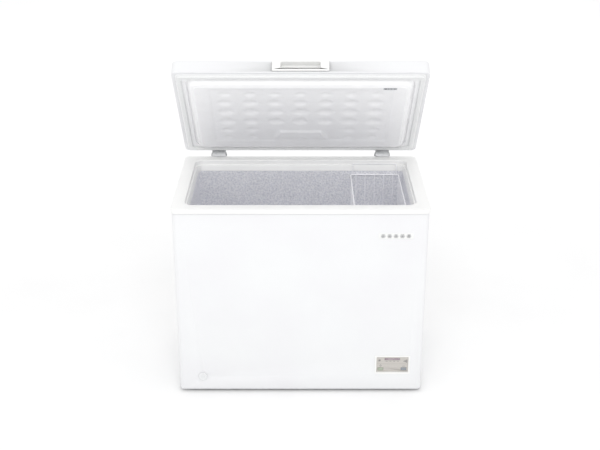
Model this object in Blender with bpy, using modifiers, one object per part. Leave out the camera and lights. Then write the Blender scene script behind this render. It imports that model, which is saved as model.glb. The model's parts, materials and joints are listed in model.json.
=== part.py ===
"""Chest freezer with a sprung top lid, a hanging basket and its cooling system.

Metres, +Z up, +X to the right of someone who stands in front, +Y to the back.
The lid is at rest half open. Every place below is in the cabinet's own frame:
x = 0 and y = 0 at the middle of the cabinet, z = 0 on the floor.
"""

from math import cos, pi, radians, sin

import bmesh
import bpy
from mathutils import Matrix, Vector

# Cabinet
TOP_WIDTH = 0.945  # over the plastic top frame
TOP_DEPTH = 0.550
RIM_HEIGHT = 0.776  # floor to the top frame's upper face
CORNER_RADIUS = 0.016
SHEET = 0.001  # painted steel
WRAP_RETURN = 0.010  # the wrap's flange behind each rear corner
GAP = 0.0003  # between pieces that touch
RUNNING_GAP = 0.0005  # round pieces that slide or turn

# Top frame
FRAME_OVERHANG = 0.004
FRAME_LIP = 0.0165
FRAME_WALL = 0.0025
RIM_SIDE = 0.047
RIM_END = 0.046
THROAT_DROP = 0.042
THROAT_TAPER = 0.011
THROAT_RADIUS = 0.034
FRAME_EDGE = 0.003  # rounding of the outer edge
FRAME_INNER_EDGE = 0.004
LEDGE_DEPTH = 0.018  # rim to the ledge that the basket hooks rest on
LEDGE_WIDTH = 0.005

# Insulation, liner and cooling tubes
LINER_WALL = 0.0008
TUB_RADIUS = 0.018
EVAPORATOR_ROOM = 0.0137
EVAPORATOR_TUBE = 0.0080
EVAPORATOR_TURNS = 6
EVAPORATOR_PITCH = 0.046
EVAPORATOR_BELOW_TUB_TOP = 0.025
CONDENSER_ROOM = 0.0065
CONDENSER_TUBE = 0.0048
CONDENSER_PASSES = 5
CONDENSER_PITCH = 0.065
CONDENSER_BELOW_RIM = 0.090
CONDENSER_FROM_BACK = 0.060
FLOOR_INSULATION = 0.085
STEP_INSULATION = 0.050

# Compressor compartment, in the right end
COMPARTMENT_WIDTH = 0.206
COMPARTMENT_HEIGHT = 0.250
BASE_SHEET = 0.0015
RAIL_WIDTH = 0.120
RAIL_HEIGHT = 0.014
RAIL_SHEET = 0.002
MOUNT_RADIUS = 0.011
MOUNT_HEIGHT = 0.016
MOUNT_SPREAD_X = 0.064
MOUNT_SPREAD_Y = 0.074
RAIL_PAST_MOUNTS = 0.016
PLATE_SHEET = 0.0025
PLATE_MARGIN = 0.002
COMPRESSOR_RADIUS = 0.072
COMPRESSOR_HEIGHT = 0.155
COMPRESSOR_SEAM = 0.0035
COMPRESSOR_Y = 0.030
TERMINAL_WIDTH = 0.052
TERMINAL_DEPTH = 0.026
TERMINAL_HEIGHT = 0.058
DRIER_RADIUS = 0.010
DRIER_LENGTH = 0.110
DRIER_FROM_WALL = 0.012
DRIER_FROM_BACK = 0.022
DRIER_HEIGHT = 0.085  # above the base
PIPE_RADIUS = 0.003

# Rear louvred cover
COVER_BORDER = 0.014
COVER_MARGIN = 0.004
COVER_OVERLAP = 0.007
COVER_SHEET = 0.0015
LOUVRES = 8
LOUVRE_HEIGHT = 0.007
LOUVRE_PITCH = 0.022
GLAND_RADIUS = 0.009
GLAND_BORE = 0.0042
GLAND_FROM_SIDE = 0.024
GLAND_FROM_BELOW = 0.016

# Feet
FOOT_HEIGHT = 0.012
FOOT_RADIUS = 0.0235
FOOT_INSET_X = 0.0785
FOOT_INSET_Y = 0.045

# Control panel, low on the front
CONTROL_FROM_SIDE = 0.1145  # panel centre to the cabinet's side
CONTROL_HEIGHT = 0.122  # panel centre above the floor
BEZEL_WIDTH = 0.136
BEZEL_HEIGHT = 0.082
BEZEL_BORDER = 0.0065
BEZEL_PROUD = 0.002
BEZEL_DEPTH = 0.016
BEZEL_SLEEVE = 0.0025
PANEL_RECESS = 0.005
PANEL_SHEET = 0.0015
BUTTON_WIDTH = 0.021
BUTTON_HEIGHT = 0.012
BUTTON_MARGIN = 0.006
BUTTON_PROUD = 0.0018
BUTTON_LENGTH = 0.0065
LENS_WIDTH = 0.058
LENS_HEIGHT = 0.009
LENS_BELOW_TOP = 0.0085
LENS_PROUD = 0.0004
LENS_LENGTH = 0.004
BOARD_SHEET = 0.0016

# Badge on the front
BADGE_WIDTH = 0.129
BADGE_HEIGHT = 0.022
BADGE_SHEET = 0.0015
BADGE_FROM_SIDE = 0.120
BADGE_BELOW_RIM = 0.106

# Drain
DRAIN_FROM_SIDE = 0.0895
DRAIN_HEIGHT = 0.070  # above the floor
DRAIN_BORE = 0.0065
DRAIN_TUBE_RADIUS = 0.008
DRAIN_FROM_FRONT = 0.086
DRAIN_CAP_RADIUS = 0.017
DRAIN_CAP_PROUD = 0.006
DRAIN_STUB = 0.014
DRAIN_BEND = 0.016
PLUG_HEAD_RADIUS = 0.013
PLUG_HEAD_HEIGHT = 0.004

# Lid, measured while closed
OPEN_ANGLE = radians(50.5)  # how far the lid stands open at rest
FULL_ANGLE = radians(85.0)
LID_OVERHANG = 0.005
LID_GAP = 0.009  # rim to the lid's underside, filled by the gasket
LID_HEIGHT = 0.056
LID_EDGE = 0.010
HEM_WIDTH = 0.012
LID_LINER_WALL = 0.0015
GROOVE_DEPTH = 0.006
GROOVE_WIDTH = 0.006
PLUG_DROP = 0.020
PLUG_INSET_SIDE = 0.0535  # lid's edge to the root of the plug
PLUG_INSET_END = 0.0440
PLUG_SLOPE = 0.020
GASKET_INSET = 0.016
GASKET_WIDTH = 0.019
GASKET_WAIST = 0.0035
LABEL_WIDTH = 0.050
LABEL_HEIGHT = 0.012
LABEL_X = 0.331
LABEL_FROM_FRONT = 0.076
LABEL_SHEET = 0.0005

# Handle, let into the lid's front
HANDLE_WIDTH = 0.210
HANDLE_HEIGHT = 0.047
HANDLE_PROUD = 0.010
RECESS_WIDTH = 0.146
RECESS_HEIGHT = 0.032
RECESS_DEPTH = 0.026
RECESS_ABOVE_EDGE = 0.010
HANDLE_WALL = 0.003
HANDLE_EDGE = 0.004
RECESS_CORNER = 0.005

# Hinges
HINGE_FROM_SIDE = 0.1365
HINGE_BEHIND = 0.022  # pin behind the top frame
HINGE_BELOW_RIM = 0.002
HINGE_WIDTH = 0.060
HINGE_SHEET = 0.002
HOUSING_LENGTH = 0.150
HOUSING_ROUND = 0.011
FLANGE_WIDTH = 0.014
FLANGE_LENGTH = 0.085
PIN_RADIUS = 0.003
PIN_HEAD_RADIUS = 0.0055
PIN_HEAD = 0.0015
LEAF_RISE = 0.050
CAM_LOW = 0.008  # pin to the slider with the lid fully open
CAM_RATE = 0.006  # slider travel for each radian of lid
SLIDER_HEIGHT = 0.010
SLIDER_STEM_RADIUS = 0.0055
SLIDER_STEM = 0.020
SPRING_TURNS = 8
SPRING_RADIUS = 0.009
SPRING_WIRE = 0.0015
SPRING_OFFSET = -0.005  # spring's centre line from the pin, along y
SCREW_RADIUS = 0.002
SCREW_HEAD_RADIUS = 0.0045
SCREW_HEAD = 0.0022
SCREW_LENGTH = 0.012

# Basket
BASKET_WIDTH = 0.199
BASKET_DEPTH = 0.190
BASKET_FROM_SIDE = 0.0145  # basket to the liner's right wall
BASKET_END_GAP = 0.003
BASKET_BELOW_RIM = 0.054
BASKET_WIRE = 0.004
BASKET_BAR = 0.005
BASKET_PITCH = 0.0376
BASKET_RADIUS = 0.008
HOOK_INSET = 0.009
HOOK_BEND = 0.006

# Worked out from the sizes above
HALF_TOP_X, HALF_TOP_Y = TOP_WIDTH / 2, TOP_DEPTH / 2
HALF_X, HALF_Y = HALF_TOP_X - FRAME_OVERHANG, HALF_TOP_Y - FRAME_OVERHANG
MOUTH_X, MOUTH_Y = HALF_TOP_X - RIM_SIDE, HALF_TOP_Y - RIM_END
TUB_X, TUB_Y = MOUTH_X - THROAT_TAPER, MOUTH_Y - THROAT_TAPER
TUB_TOP = RIM_HEIGHT - THROAT_DROP - GAP
BASE_TOP = FOOT_HEIGHT + BASE_SHEET
FLOOR_Z = BASE_TOP + FLOOR_INSULATION
COMPARTMENT_X = HALF_X - SHEET - COMPARTMENT_WIDTH
COMPARTMENT_TOP = BASE_TOP + COMPARTMENT_HEIGHT
STEP_X = COMPARTMENT_X - STEP_INSULATION
STEP_Z = COMPARTMENT_TOP + STEP_INSULATION
FRONT_Y = -HALF_Y
LID_BOTTOM = RIM_HEIGHT + LID_GAP
LID_TOP = LID_BOTTOM + LID_HEIGHT
LID_HALF_Y = HALF_TOP_Y + LID_OVERHANG
HINGE_Y = HALF_TOP_Y + HINGE_BEHIND
HINGE_Z = RIM_HEIGHT - HINGE_BELOW_RIM
HINGES = {"left": -HALF_TOP_X + HINGE_FROM_SIDE, "right": HALF_TOP_X - HINGE_FROM_SIDE}
CAM_HIGH = CAM_LOW + CAM_RATE * FULL_ANGLE
CONTROL_X = HALF_X - CONTROL_FROM_SIDE
DRAIN_X = -HALF_X + DRAIN_FROM_SIDE
DRAIN_Y = FRONT_Y + DRAIN_FROM_FRONT
COMPRESSOR_X = COMPARTMENT_X + COMPARTMENT_WIDTH / 2

# The origin lies under the middle of the part as it rests, from the lid's rear top edge to the drain cap.
LID_REAR = Vector((LID_HALF_Y - HINGE_Y, LID_TOP - HINGE_Z))
REST_BACK = HINGE_Y + LID_REAR.x * cos(OPEN_ANGLE) + LID_REAR.y * sin(OPEN_ANGLE)
REST_FRONT = FRONT_Y - DRAIN_CAP_PROUD
CABINET_Y = -(REST_BACK + REST_FRONT) / 2

# Finishes: colour, roughness, metallic
PAINTED_STEEL = ("pre_painted_steel", (0.93, 0.93, 0.93), 0.35, 0.0)
WHITE_PLASTIC = ("white_abs", (0.92, 0.92, 0.92), 0.40, 0.0)
LID_PLASTIC = ("white_polystyrene", (0.88, 0.88, 0.90), 0.30, 0.0)
GREY_PLASTIC = ("light_grey_abs", (0.72, 0.72, 0.72), 0.45, 0.0)
DARK_PLASTIC = ("dark_grey_plastic", (0.16, 0.16, 0.17), 0.55, 0.0)
STUCCO_ALUMINIUM = ("stucco_aluminium", (0.60, 0.60, 0.62), 0.35, 1.0)
POLYURETHANE = ("polyurethane_foam", (0.86, 0.80, 0.62), 0.90, 0.0)
GALVANISED = ("galvanised_steel", (0.62, 0.63, 0.64), 0.45, 1.0)
SPRING_STEEL = ("spring_steel", (0.45, 0.45, 0.46), 0.35, 1.0)
BLACK_ENAMEL = ("black_enamel", (0.03, 0.03, 0.03), 0.35, 0.0)
RUBBER = ("black_rubber", (0.04, 0.04, 0.04), 0.80, 0.0)
GASKET_PVC = ("white_pvc", (0.85, 0.85, 0.85), 0.55, 0.0)
COPPER = ("copper_tube", (0.80, 0.42, 0.28), 0.30, 1.0)
ALUMINIUM_TUBE = ("aluminium_tube", (0.70, 0.70, 0.72), 0.35, 1.0)
COATED_WIRE = ("pe_coated_wire", (0.90, 0.90, 0.92), 0.35, 0.0)
BRUSHED_PLATE = ("brushed_aluminium", (0.66, 0.64, 0.62), 0.35, 1.0)
CIRCUIT_BOARD = ("circuit_board", (0.05, 0.25, 0.12), 0.50, 0.0)
SMOKED_LENS = ("smoked_lens", (0.25, 0.16, 0.18), 0.15, 0.0)
BUTTON_GREEN = ("green_grey_button", (0.60, 0.66, 0.58), 0.40, 0.0)
BUTTON_GREY = ("grey_button", (0.45, 0.47, 0.50), 0.40, 0.0)
LABEL_PRINT = ("label_film", (0.55, 0.56, 0.58), 0.40, 0.0)


def clear_scene():
    for obj in list(bpy.data.objects):
        bpy.data.objects.remove(obj, do_unlink=True)


def new_collection(name, hidden):
    collection = bpy.data.collections.new(name)
    collection.hide_render = hidden
    bpy.context.scene.collection.children.link(collection)
    return collection


def new_empty(name, location, parent):
    empty = bpy.data.objects.new(name, None)
    empty.empty_display_size = 0.05
    empty.location = location
    empty.parent = parent
    PARTS.objects.link(empty)
    return empty


clear_scene()
PARTS = new_collection("chest_freezer", hidden=False)
CUTTERS = new_collection("cutters", hidden=True)
CABINET = new_empty("cabinet_frame", (0, CABINET_Y, 0), None)
LID = new_empty("lid_axis", (0, HINGE_Y, HINGE_Z), CABINET)
LID.rotation_euler = (-OPEN_ANGLE, 0, 0)
FRAME_ORIGIN = {CABINET: Vector((0, 0, 0)), LID: Vector((0, HINGE_Y, HINGE_Z))}


def material(finish):
    name, colour, roughness, metallic = finish
    if name in bpy.data.materials:
        return bpy.data.materials[name]
    made = bpy.data.materials.new(name)
    made.use_nodes = True
    shader = made.node_tree.nodes["Principled BSDF"]
    shader.inputs["Base Color"].default_value = (*colour, 1)
    shader.inputs["Roughness"].default_value = roughness
    shader.inputs["Metallic"].default_value = metallic
    return made


def finish_object(name, mesh, finish, centre, parent, smooth=None):
    """A named piece whose origin is at centre; without a finish it becomes a cutter."""
    obj = bpy.data.objects.new(name, mesh)
    obj.parent = parent
    obj.location = Vector(centre) - FRAME_ORIGIN[parent]
    if finish is None:
        obj.hide_render = True
        obj.display_type = "WIRE"
        CUTTERS.objects.link(obj)
        return obj
    mesh.materials.append(material(finish))
    if smooth is not None:
        mesh.shade_smooth()
        mesh.set_sharp_from_angle(angle=radians(smooth))
    PARTS.objects.link(obj)
    return obj


def mesh_of(bm, name):
    bmesh.ops.recalc_face_normals(bm, faces=bm.faces)
    mesh = bpy.data.meshes.new(name)
    bm.to_mesh(mesh)
    bm.free()
    return mesh


def add_bevel(obj, width, segments=2):
    bevel = obj.modifiers.new("edges", "BEVEL")
    bevel.width = width
    bevel.segments = segments
    bevel.limit_method = "ANGLE"


def add_boolean(obj, other, operation="DIFFERENCE"):
    boolean = obj.modifiers.new(operation.lower(), "BOOLEAN")
    boolean.operation = operation
    boolean.solver = "EXACT"
    boolean.object = other


def box(name, low, high, finish=None, parent=CABINET, bevel=0.0):
    """A box between two corners."""
    low, high = Vector(low), Vector(high)
    bm = bmesh.new()
    bmesh.ops.create_cube(bm, size=1.0)
    bmesh.ops.scale(bm, vec=high - low, verts=bm.verts)
    obj = finish_object(name, mesh_of(bm, name), finish, (low + high) / 2, parent)
    if bevel:
        add_bevel(obj, bevel)
    return obj


AXIS_FRAMES = {
    "x": Matrix(((0, 0, 1, 0), (1, 0, 0, 0), (0, 1, 0, 0), (0, 0, 0, 1))),
    "y": Matrix(((1, 0, 0, 0), (0, 0, -1, 0), (0, 1, 0, 0), (0, 0, 0, 1))),
    "z": Matrix.Identity(4),
}


def rounded_rectangle(half_u, half_v, radius, steps=3):
    """Points of a rounded rectangle, anticlockwise."""
    points = []
    for quarter, (side_u, side_v) in enumerate(((1, 1), (-1, 1), (-1, -1), (1, -1))):
        for step in range(steps + 1):
            angle = (quarter + step / steps) * pi / 2
            u = side_u * (half_u - radius) + radius * cos(angle)
            v = side_v * (half_v - radius) + radius * sin(angle)
            points.append((u, v))
    return points


def loft(name, sections, finish=None, parent=CABINET, centre=(0, 0, 0), axis="z", ring=False, smooth=None):
    """A loft through rounded rectangles: (half_u, half_v, radius, place along the axis) for each.

    A ring joins the last one back to the first, and otherwise both ends are capped.
    Axis "z" looks down on x and y. Axis "y" looks from the front at x and z, its places towards the front.
    """
    bm = bmesh.new()
    loops = []
    for half_u, half_v, radius, place in sections:
        loops.append([bm.verts.new((u, v, place)) for u, v in rounded_rectangle(half_u, half_v, radius)])
    pairs = list(zip(loops, loops[1:]))
    if ring:
        pairs.append((loops[-1], loops[0]))
    else:
        bm.faces.new(loops[0])
        bm.faces.new(loops[-1])
    for one, other in pairs:
        for i in range(len(one)):
            bm.faces.new((one[i - 1], one[i], other[i], other[i - 1]))
    bmesh.ops.transform(bm, matrix=AXIS_FRAMES[axis], verts=bm.verts)
    return finish_object(name, mesh_of(bm, name), finish, centre, parent, smooth)


def prism(name, outline, low, high, finish=None, parent=CABINET, centre=(0, 0, 0), axis="x"):
    """A flat outline given thickness: (y, z) points along x, (x, z) along -y or (x, y) along z."""
    curve = bpy.data.curves.new(name, "CURVE")
    curve.dimensions = "2D"
    curve.fill_mode = "BOTH"
    curve.extrude = (high - low) / 2
    spline = curve.splines.new("POLY")
    spline.points.add(len(outline) - 1)
    for point, (u, v) in zip(spline.points, outline):
        point.co = (u, v, 0, 1)
    spline.use_cyclic_u = True
    placed = AXIS_FRAMES[axis] @ Matrix.Translation((0, 0, (low + high) / 2))
    return finish_object(name, mesh_from_curve(curve, name, placed), finish, centre, parent)


def mesh_from_curve(curve, name, matrix):
    """The curve's solid as a mesh with its caps welded on."""
    guide = bpy.data.objects.new(name + "_guide", curve)
    bpy.context.scene.collection.objects.link(guide)
    graph = bpy.context.evaluated_depsgraph_get()
    mesh = bpy.data.meshes.new_from_object(guide.evaluated_get(graph))
    mesh.name = name
    bpy.data.objects.remove(guide, do_unlink=True)
    bpy.data.curves.remove(curve)
    bm = bmesh.new()
    bm.from_mesh(mesh)
    bmesh.ops.remove_doubles(bm, verts=bm.verts, dist=1e-6)
    bmesh.ops.transform(bm, matrix=matrix, verts=bm.verts)
    bmesh.ops.recalc_face_normals(bm, faces=bm.faces)
    bm.to_mesh(mesh)
    bm.free()
    mesh.materials.clear()
    return mesh


def wire_curve(name, points, radius, closed=False, resolution=1):
    curve = bpy.data.curves.new(name, "CURVE")
    curve.dimensions = "3D"
    curve.bevel_depth = radius
    curve.bevel_resolution = resolution
    curve.use_fill_caps = not closed
    spline = curve.splines.new("POLY")
    spline.points.add(len(points) - 1)
    for point, place in zip(spline.points, points):
        point.co = (*place, 1)
    spline.use_cyclic_u = closed
    return curve


def wire(name, points, radius, finish, parent=CABINET, centre=(0, 0, 0), closed=False, resolution=1):
    """A round tube or rod along points."""
    curve = wire_curve(name, points, radius, closed, resolution)
    mesh = mesh_from_curve(curve, name, Matrix.Identity(4))
    return finish_object(name, mesh, finish, centre, parent, smooth=50)


def turned(name, profile, finish, centre, parent=CABINET, turn=None, steps=20, smooth=35):
    """A profile of (radius, height), from the top down, spun round its own axis by a Screw modifier."""
    bm = bmesh.new()
    verts = [bm.verts.new((radius, 0, height)) for radius, height in profile]
    for upper, lower in zip(verts, verts[1:]):
        bm.edges.new((upper, lower))
    mesh = bpy.data.meshes.new(name)
    bm.to_mesh(mesh)
    bm.free()
    obj = finish_object(name, mesh, finish, centre, parent)
    if turn:
        obj.rotation_euler = turn
    screw = obj.modifiers.new("turn", "SCREW")
    screw.steps = steps
    screw.render_steps = steps
    screw.use_merge_vertices = True
    screw.merge_threshold = 1e-5
    screw.use_smooth_shade = smooth is not None
    return obj


def cylinders_cutter(name, places, radius, low, high, axis="y", parent=CABINET, sides=12):
    """Round holes along an axis, at (x, z) places for y or (x, y) places for z."""
    bm = bmesh.new()
    for u, v in places:
        middle = (u, (low + high) / 2, v) if axis == "y" else (u, v, (low + high) / 2)
        matrix = Matrix.Translation(middle)
        if axis == "y":
            matrix = matrix @ Matrix.Rotation(pi / 2, 4, "X")
        bmesh.ops.create_cone(
            bm, cap_ends=True, segments=sides, radius1=radius, radius2=radius, depth=high - low, matrix=matrix
        )
    return finish_object(name, mesh_of(bm, name), None, (0, 0, 0), parent)


def boxes_cutter(name, spans, parent=CABINET):
    """Several separate boxes as one cutter."""
    bm = bmesh.new()
    for low, high in spans:
        low, high = Vector(low), Vector(high)
        made = bmesh.ops.create_cube(bm, size=1.0)["verts"]
        bmesh.ops.scale(bm, vec=high - low, verts=made)
        bmesh.ops.translate(bm, vec=(low + high) / 2, verts=made)
    return finish_object(name, mesh_of(bm, name), None, (0, 0, 0), parent)


def arc(centre, radius, start, end, steps):
    """Points along an arc in a plane, angles in radians."""
    angles = [start + (end - start) * i / steps for i in range(steps + 1)]
    return [(centre[0] + radius * cos(a), centre[1] + radius * sin(a)) for a in angles]


# ---------------------------------------------------------------- cabinet


def make_outer_shell(cuts):
    """The steel wrap: left side, front and right side in one sheet, with a return at each rear corner."""
    corners = [
        (-HALF_X + CORNER_RADIUS, HALF_Y - CORNER_RADIUS, 0.5 * pi),
        (-HALF_X + CORNER_RADIUS, FRONT_Y + CORNER_RADIUS, pi),
        (HALF_X - CORNER_RADIUS, FRONT_Y + CORNER_RADIUS, 1.5 * pi),
        (HALF_X - CORNER_RADIUS, HALF_Y - CORNER_RADIUS, 2 * pi),
    ]

    def bends(radius):
        return [point for x, y, start in corners for point in arc((x, y), radius, start, start + pi / 2, 3)]

    end = corners[-1][0] - WRAP_RETURN
    outline = [(-end, HALF_Y)] + bends(CORNER_RADIUS) + [(end, HALF_Y)]
    outline += [(end, HALF_Y - SHEET)] + bends(CORNER_RADIUS - SHEET)[::-1] + [(-end, HALF_Y - SHEET)]
    top = RIM_HEIGHT - FRAME_WALL - 4 * GAP
    shell = prism("outer_shell", outline, FOOT_HEIGHT, top, PAINTED_STEEL, axis="z")
    for cutter in cuts:
        add_boolean(shell, cutter)


def cover_span():
    """The rear opening of the compressor compartment: x and z from low to high."""
    return (
        (COMPARTMENT_X + COVER_BORDER, panel_half_width() - COVER_MARGIN),
        (BASE_TOP + COVER_BORDER, COMPARTMENT_TOP - COVER_BORDER),
    )


def panel_half_width():
    """The back panel lies between the wrap's returns."""
    return HALF_X - CORNER_RADIUS - WRAP_RETURN - GAP


def make_back_panel(cuts):
    top = RIM_HEIGHT - FRAME_WALL - 4 * GAP
    half_x = panel_half_width()
    panel = box("back_panel", (-half_x, HALF_Y - SHEET, FOOT_HEIGHT), (half_x, HALF_Y, top), PAINTED_STEEL)
    for cutter in cuts:
        add_boolean(panel, cutter)


def make_base_tray():
    half_x = HALF_X - SHEET - GAP
    half_y = HALF_Y - SHEET - GAP
    radius = CORNER_RADIUS - SHEET
    sections = [(half_x, half_y, radius, FOOT_HEIGHT), (half_x, half_y, radius, BASE_TOP)]
    loft("base_tray", sections, GALVANISED)


def tub_block(name, grow, radius, top, step_grow):
    """A cutter of the tub's inner volume grown outwards, with the step over the compressor left out."""
    half_x, half_y = TUB_X + grow, TUB_Y + grow
    bottom = FLOOR_Z - step_grow
    block = loft(name, [(half_x, half_y, radius, bottom), (half_x, half_y, radius, top)])
    step = box(
        name + "_step",
        (STEP_X + step_grow, -1, bottom - 0.1),
        (HALF_X + 0.1, 1, STEP_Z - step_grow),
    )
    add_boolean(block, step)
    return block


def make_foam_body(cuts):
    """Foam that fills the walls, round the tub and over the compressor compartment."""
    half_x = HALF_X - SHEET - CONDENSER_ROOM
    front = FRONT_Y + SHEET + CONDENSER_ROOM
    back = HALF_Y - SHEET - GAP
    radius = CORNER_RADIUS - SHEET - CONDENSER_ROOM
    middle = (0, (front + back) / 2, 0)
    half_y = (back - front) / 2
    bottom, top = BASE_TOP + GAP, RIM_HEIGHT - FRAME_WALL - GAP
    sections = [(half_x, half_y, radius, bottom), (half_x, half_y, radius, top)]
    foam = loft("foam_body", sections, POLYURETHANE, centre=middle)
    room = LINER_WALL + EVAPORATOR_ROOM
    radius = THROAT_RADIUS + FRAME_WALL
    add_boolean(foam, tub_block("foam_cavity", room, radius, RIM_HEIGHT + 0.1, LINER_WALL + GAP))
    compartment = box(
        "compartment_space",
        (COMPARTMENT_X, -1, BASE_TOP - 0.1),
        (HALF_X + 0.1, 1, COMPARTMENT_TOP),
    )
    add_boolean(foam, compartment)
    room = DRAIN_TUBE_RADIUS + 2 * GAP
    channel = box(
        "drain_channel",
        (DRAIN_X - room, FRONT_Y - 0.1, DRAIN_HEIGHT - room),
        (DRAIN_X + room, DRAIN_Y + room, FLOOR_Z + 0.01),
    )
    add_boolean(foam, channel)
    for cutter in cuts:
        add_boolean(foam, cutter)


def make_inner_liner(drain_hole):
    """The embossed aluminium tub, with the step over the compressor at its right end."""
    half_x, half_y, radius = TUB_X + LINER_WALL, TUB_Y + LINER_WALL, TUB_RADIUS + LINER_WALL
    bottom = FLOOR_Z - LINER_WALL
    sections = [(half_x, half_y, radius, bottom), (half_x, half_y, radius, TUB_TOP)]
    liner = loft("inner_liner", sections, STUCCO_ALUMINIUM)
    under_step = box(
        "liner_under_step",
        (STEP_X + LINER_WALL, -1, bottom - 0.1),
        (HALF_X + 0.1, 1, STEP_Z - LINER_WALL),
    )
    add_boolean(liner, under_step)
    add_boolean(liner, tub_block("liner_inside", 0, TUB_RADIUS, RIM_HEIGHT + 0.1, 0))
    add_boolean(liner, drain_hole)


def make_top_frame():
    """The plastic frame: outer lip, flat rim, rounded inner edge and the throat with the basket ledge."""
    edge, inner_edge = FRAME_EDGE, FRAME_INNER_EDGE
    radius, throat = CORNER_RADIUS + 0.002, THROAT_RADIUS
    ledge = RIM_HEIGHT - LEDGE_DEPTH
    lip = RIM_HEIGHT - FRAME_LIP
    foot = RIM_HEIGHT - THROAT_DROP
    under = RIM_HEIGHT - FRAME_WALL
    wall = FRAME_WALL
    throat_x, throat_y = RIM_SIDE + THROAT_TAPER, RIM_END + THROAT_TAPER

    def at(inset_x, inset_y, corner, height):
        return (HALF_TOP_X - inset_x, HALF_TOP_Y - inset_y, corner, height)

    sections = [
        at(0, 0, radius, lip),
        at(0, 0, radius, RIM_HEIGHT - edge),
        at(edge * 0.3, edge * 0.3, radius, RIM_HEIGHT - edge * 0.3),
        at(edge, edge, radius - edge, RIM_HEIGHT),
        at(RIM_SIDE - inner_edge, RIM_END - inner_edge, throat, RIM_HEIGHT),
        at(RIM_SIDE - inner_edge * 0.3, RIM_END - inner_edge * 0.3, throat, RIM_HEIGHT - inner_edge * 0.3),
        at(RIM_SIDE, RIM_END, throat, RIM_HEIGHT - inner_edge),
        at(RIM_SIDE, RIM_END, throat, ledge),
        at(RIM_SIDE + LEDGE_WIDTH, RIM_END + LEDGE_WIDTH, throat - 0.002, ledge - 0.0005),
        at(throat_x, throat_y, TUB_RADIUS, foot),
        at(throat_x - wall, throat_y - wall, TUB_RADIUS + wall, foot),
        at(RIM_SIDE - wall, RIM_END - wall, throat + wall, ledge - wall),
        at(RIM_SIDE - wall, RIM_END - wall, throat + wall, under),
        at(wall, wall, radius - wall, under),
        at(wall, wall, radius - wall, lip),
    ]
    loft("top_frame", sections, WHITE_PLASTIC, ring=True, smooth=25)


def make_evaporator():
    """Tube wound round the tub above the step."""
    middle = LINER_WALL + EVAPORATOR_ROOM / 2
    turn = rounded_rectangle(TUB_X + middle, TUB_Y + middle, TUB_RADIUS + middle, steps=2)
    start = TUB_TOP - EVAPORATOR_BELOW_TUB_TOP - EVAPORATOR_TURNS * EVAPORATOR_PITCH
    points = []
    for number in range(EVAPORATOR_TURNS):
        for i, (x, y) in enumerate(turn):
            points.append((x, y, start + EVAPORATOR_PITCH * (number + i / len(turn))))
    wire("evaporator_coil", points, EVAPORATOR_TUBE / 2, ALUMINIUM_TUBE)


def make_condenser():
    """Tube in passes behind the wrap, from one side round the front to the other side and back."""
    inset = SHEET + CONDENSER_ROOM / 2
    x, front, back = HALF_X - inset, FRONT_Y + inset, HALF_Y - CONDENSER_FROM_BACK
    corner = CORNER_RADIUS - inset
    route = [(-x, back)]
    route += arc((-x + corner, front + corner), corner, pi, 1.5 * pi, 2)
    route += arc((x - corner, front + corner), corner, 1.5 * pi, 2 * pi, 2)
    route.append((x, back))
    lowest = RIM_HEIGHT - CONDENSER_BELOW_RIM - (CONDENSER_PASSES - 1) * CONDENSER_PITCH
    bend = 0.4 * CONDENSER_PITCH
    points = []
    for number in range(CONDENSER_PASSES):
        height = lowest + number * CONDENSER_PITCH
        there = route if number % 2 == 0 else route[::-1]
        points += [(px, py, height) for px, py in there]
        if number + 1 < CONDENSER_PASSES:
            end_x, end_y = there[-1]
            points.append((end_x, end_y + bend, height + bend))
            points.append((end_x, end_y + bend, height + CONDENSER_PITCH - bend))
    wire("condenser_coil", points, CONDENSER_TUBE / 2, COPPER)


def make_feet():
    for front_back, side_y in (("front", -1), ("rear", 1)):
        for left_right, side_x in (("left", -1), ("right", 1)):
            place = (side_x * (HALF_X - FOOT_INSET_X), side_y * (HALF_Y - FOOT_INSET_Y), 0)
            top = FOOT_HEIGHT - GAP
            profile = [
                (0, top),
                (FOOT_RADIUS * 0.8, top),
                (FOOT_RADIUS, top * 0.55),
                (FOOT_RADIUS, 0.002),
                (FOOT_RADIUS - 0.002, 0),
                (0, 0),
            ]
            turned(f"foot_{front_back}_{left_right}", profile, DARK_PLASTIC, place, steps=16)


# ---------------------------------------------------------------- cooling unit


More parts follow.
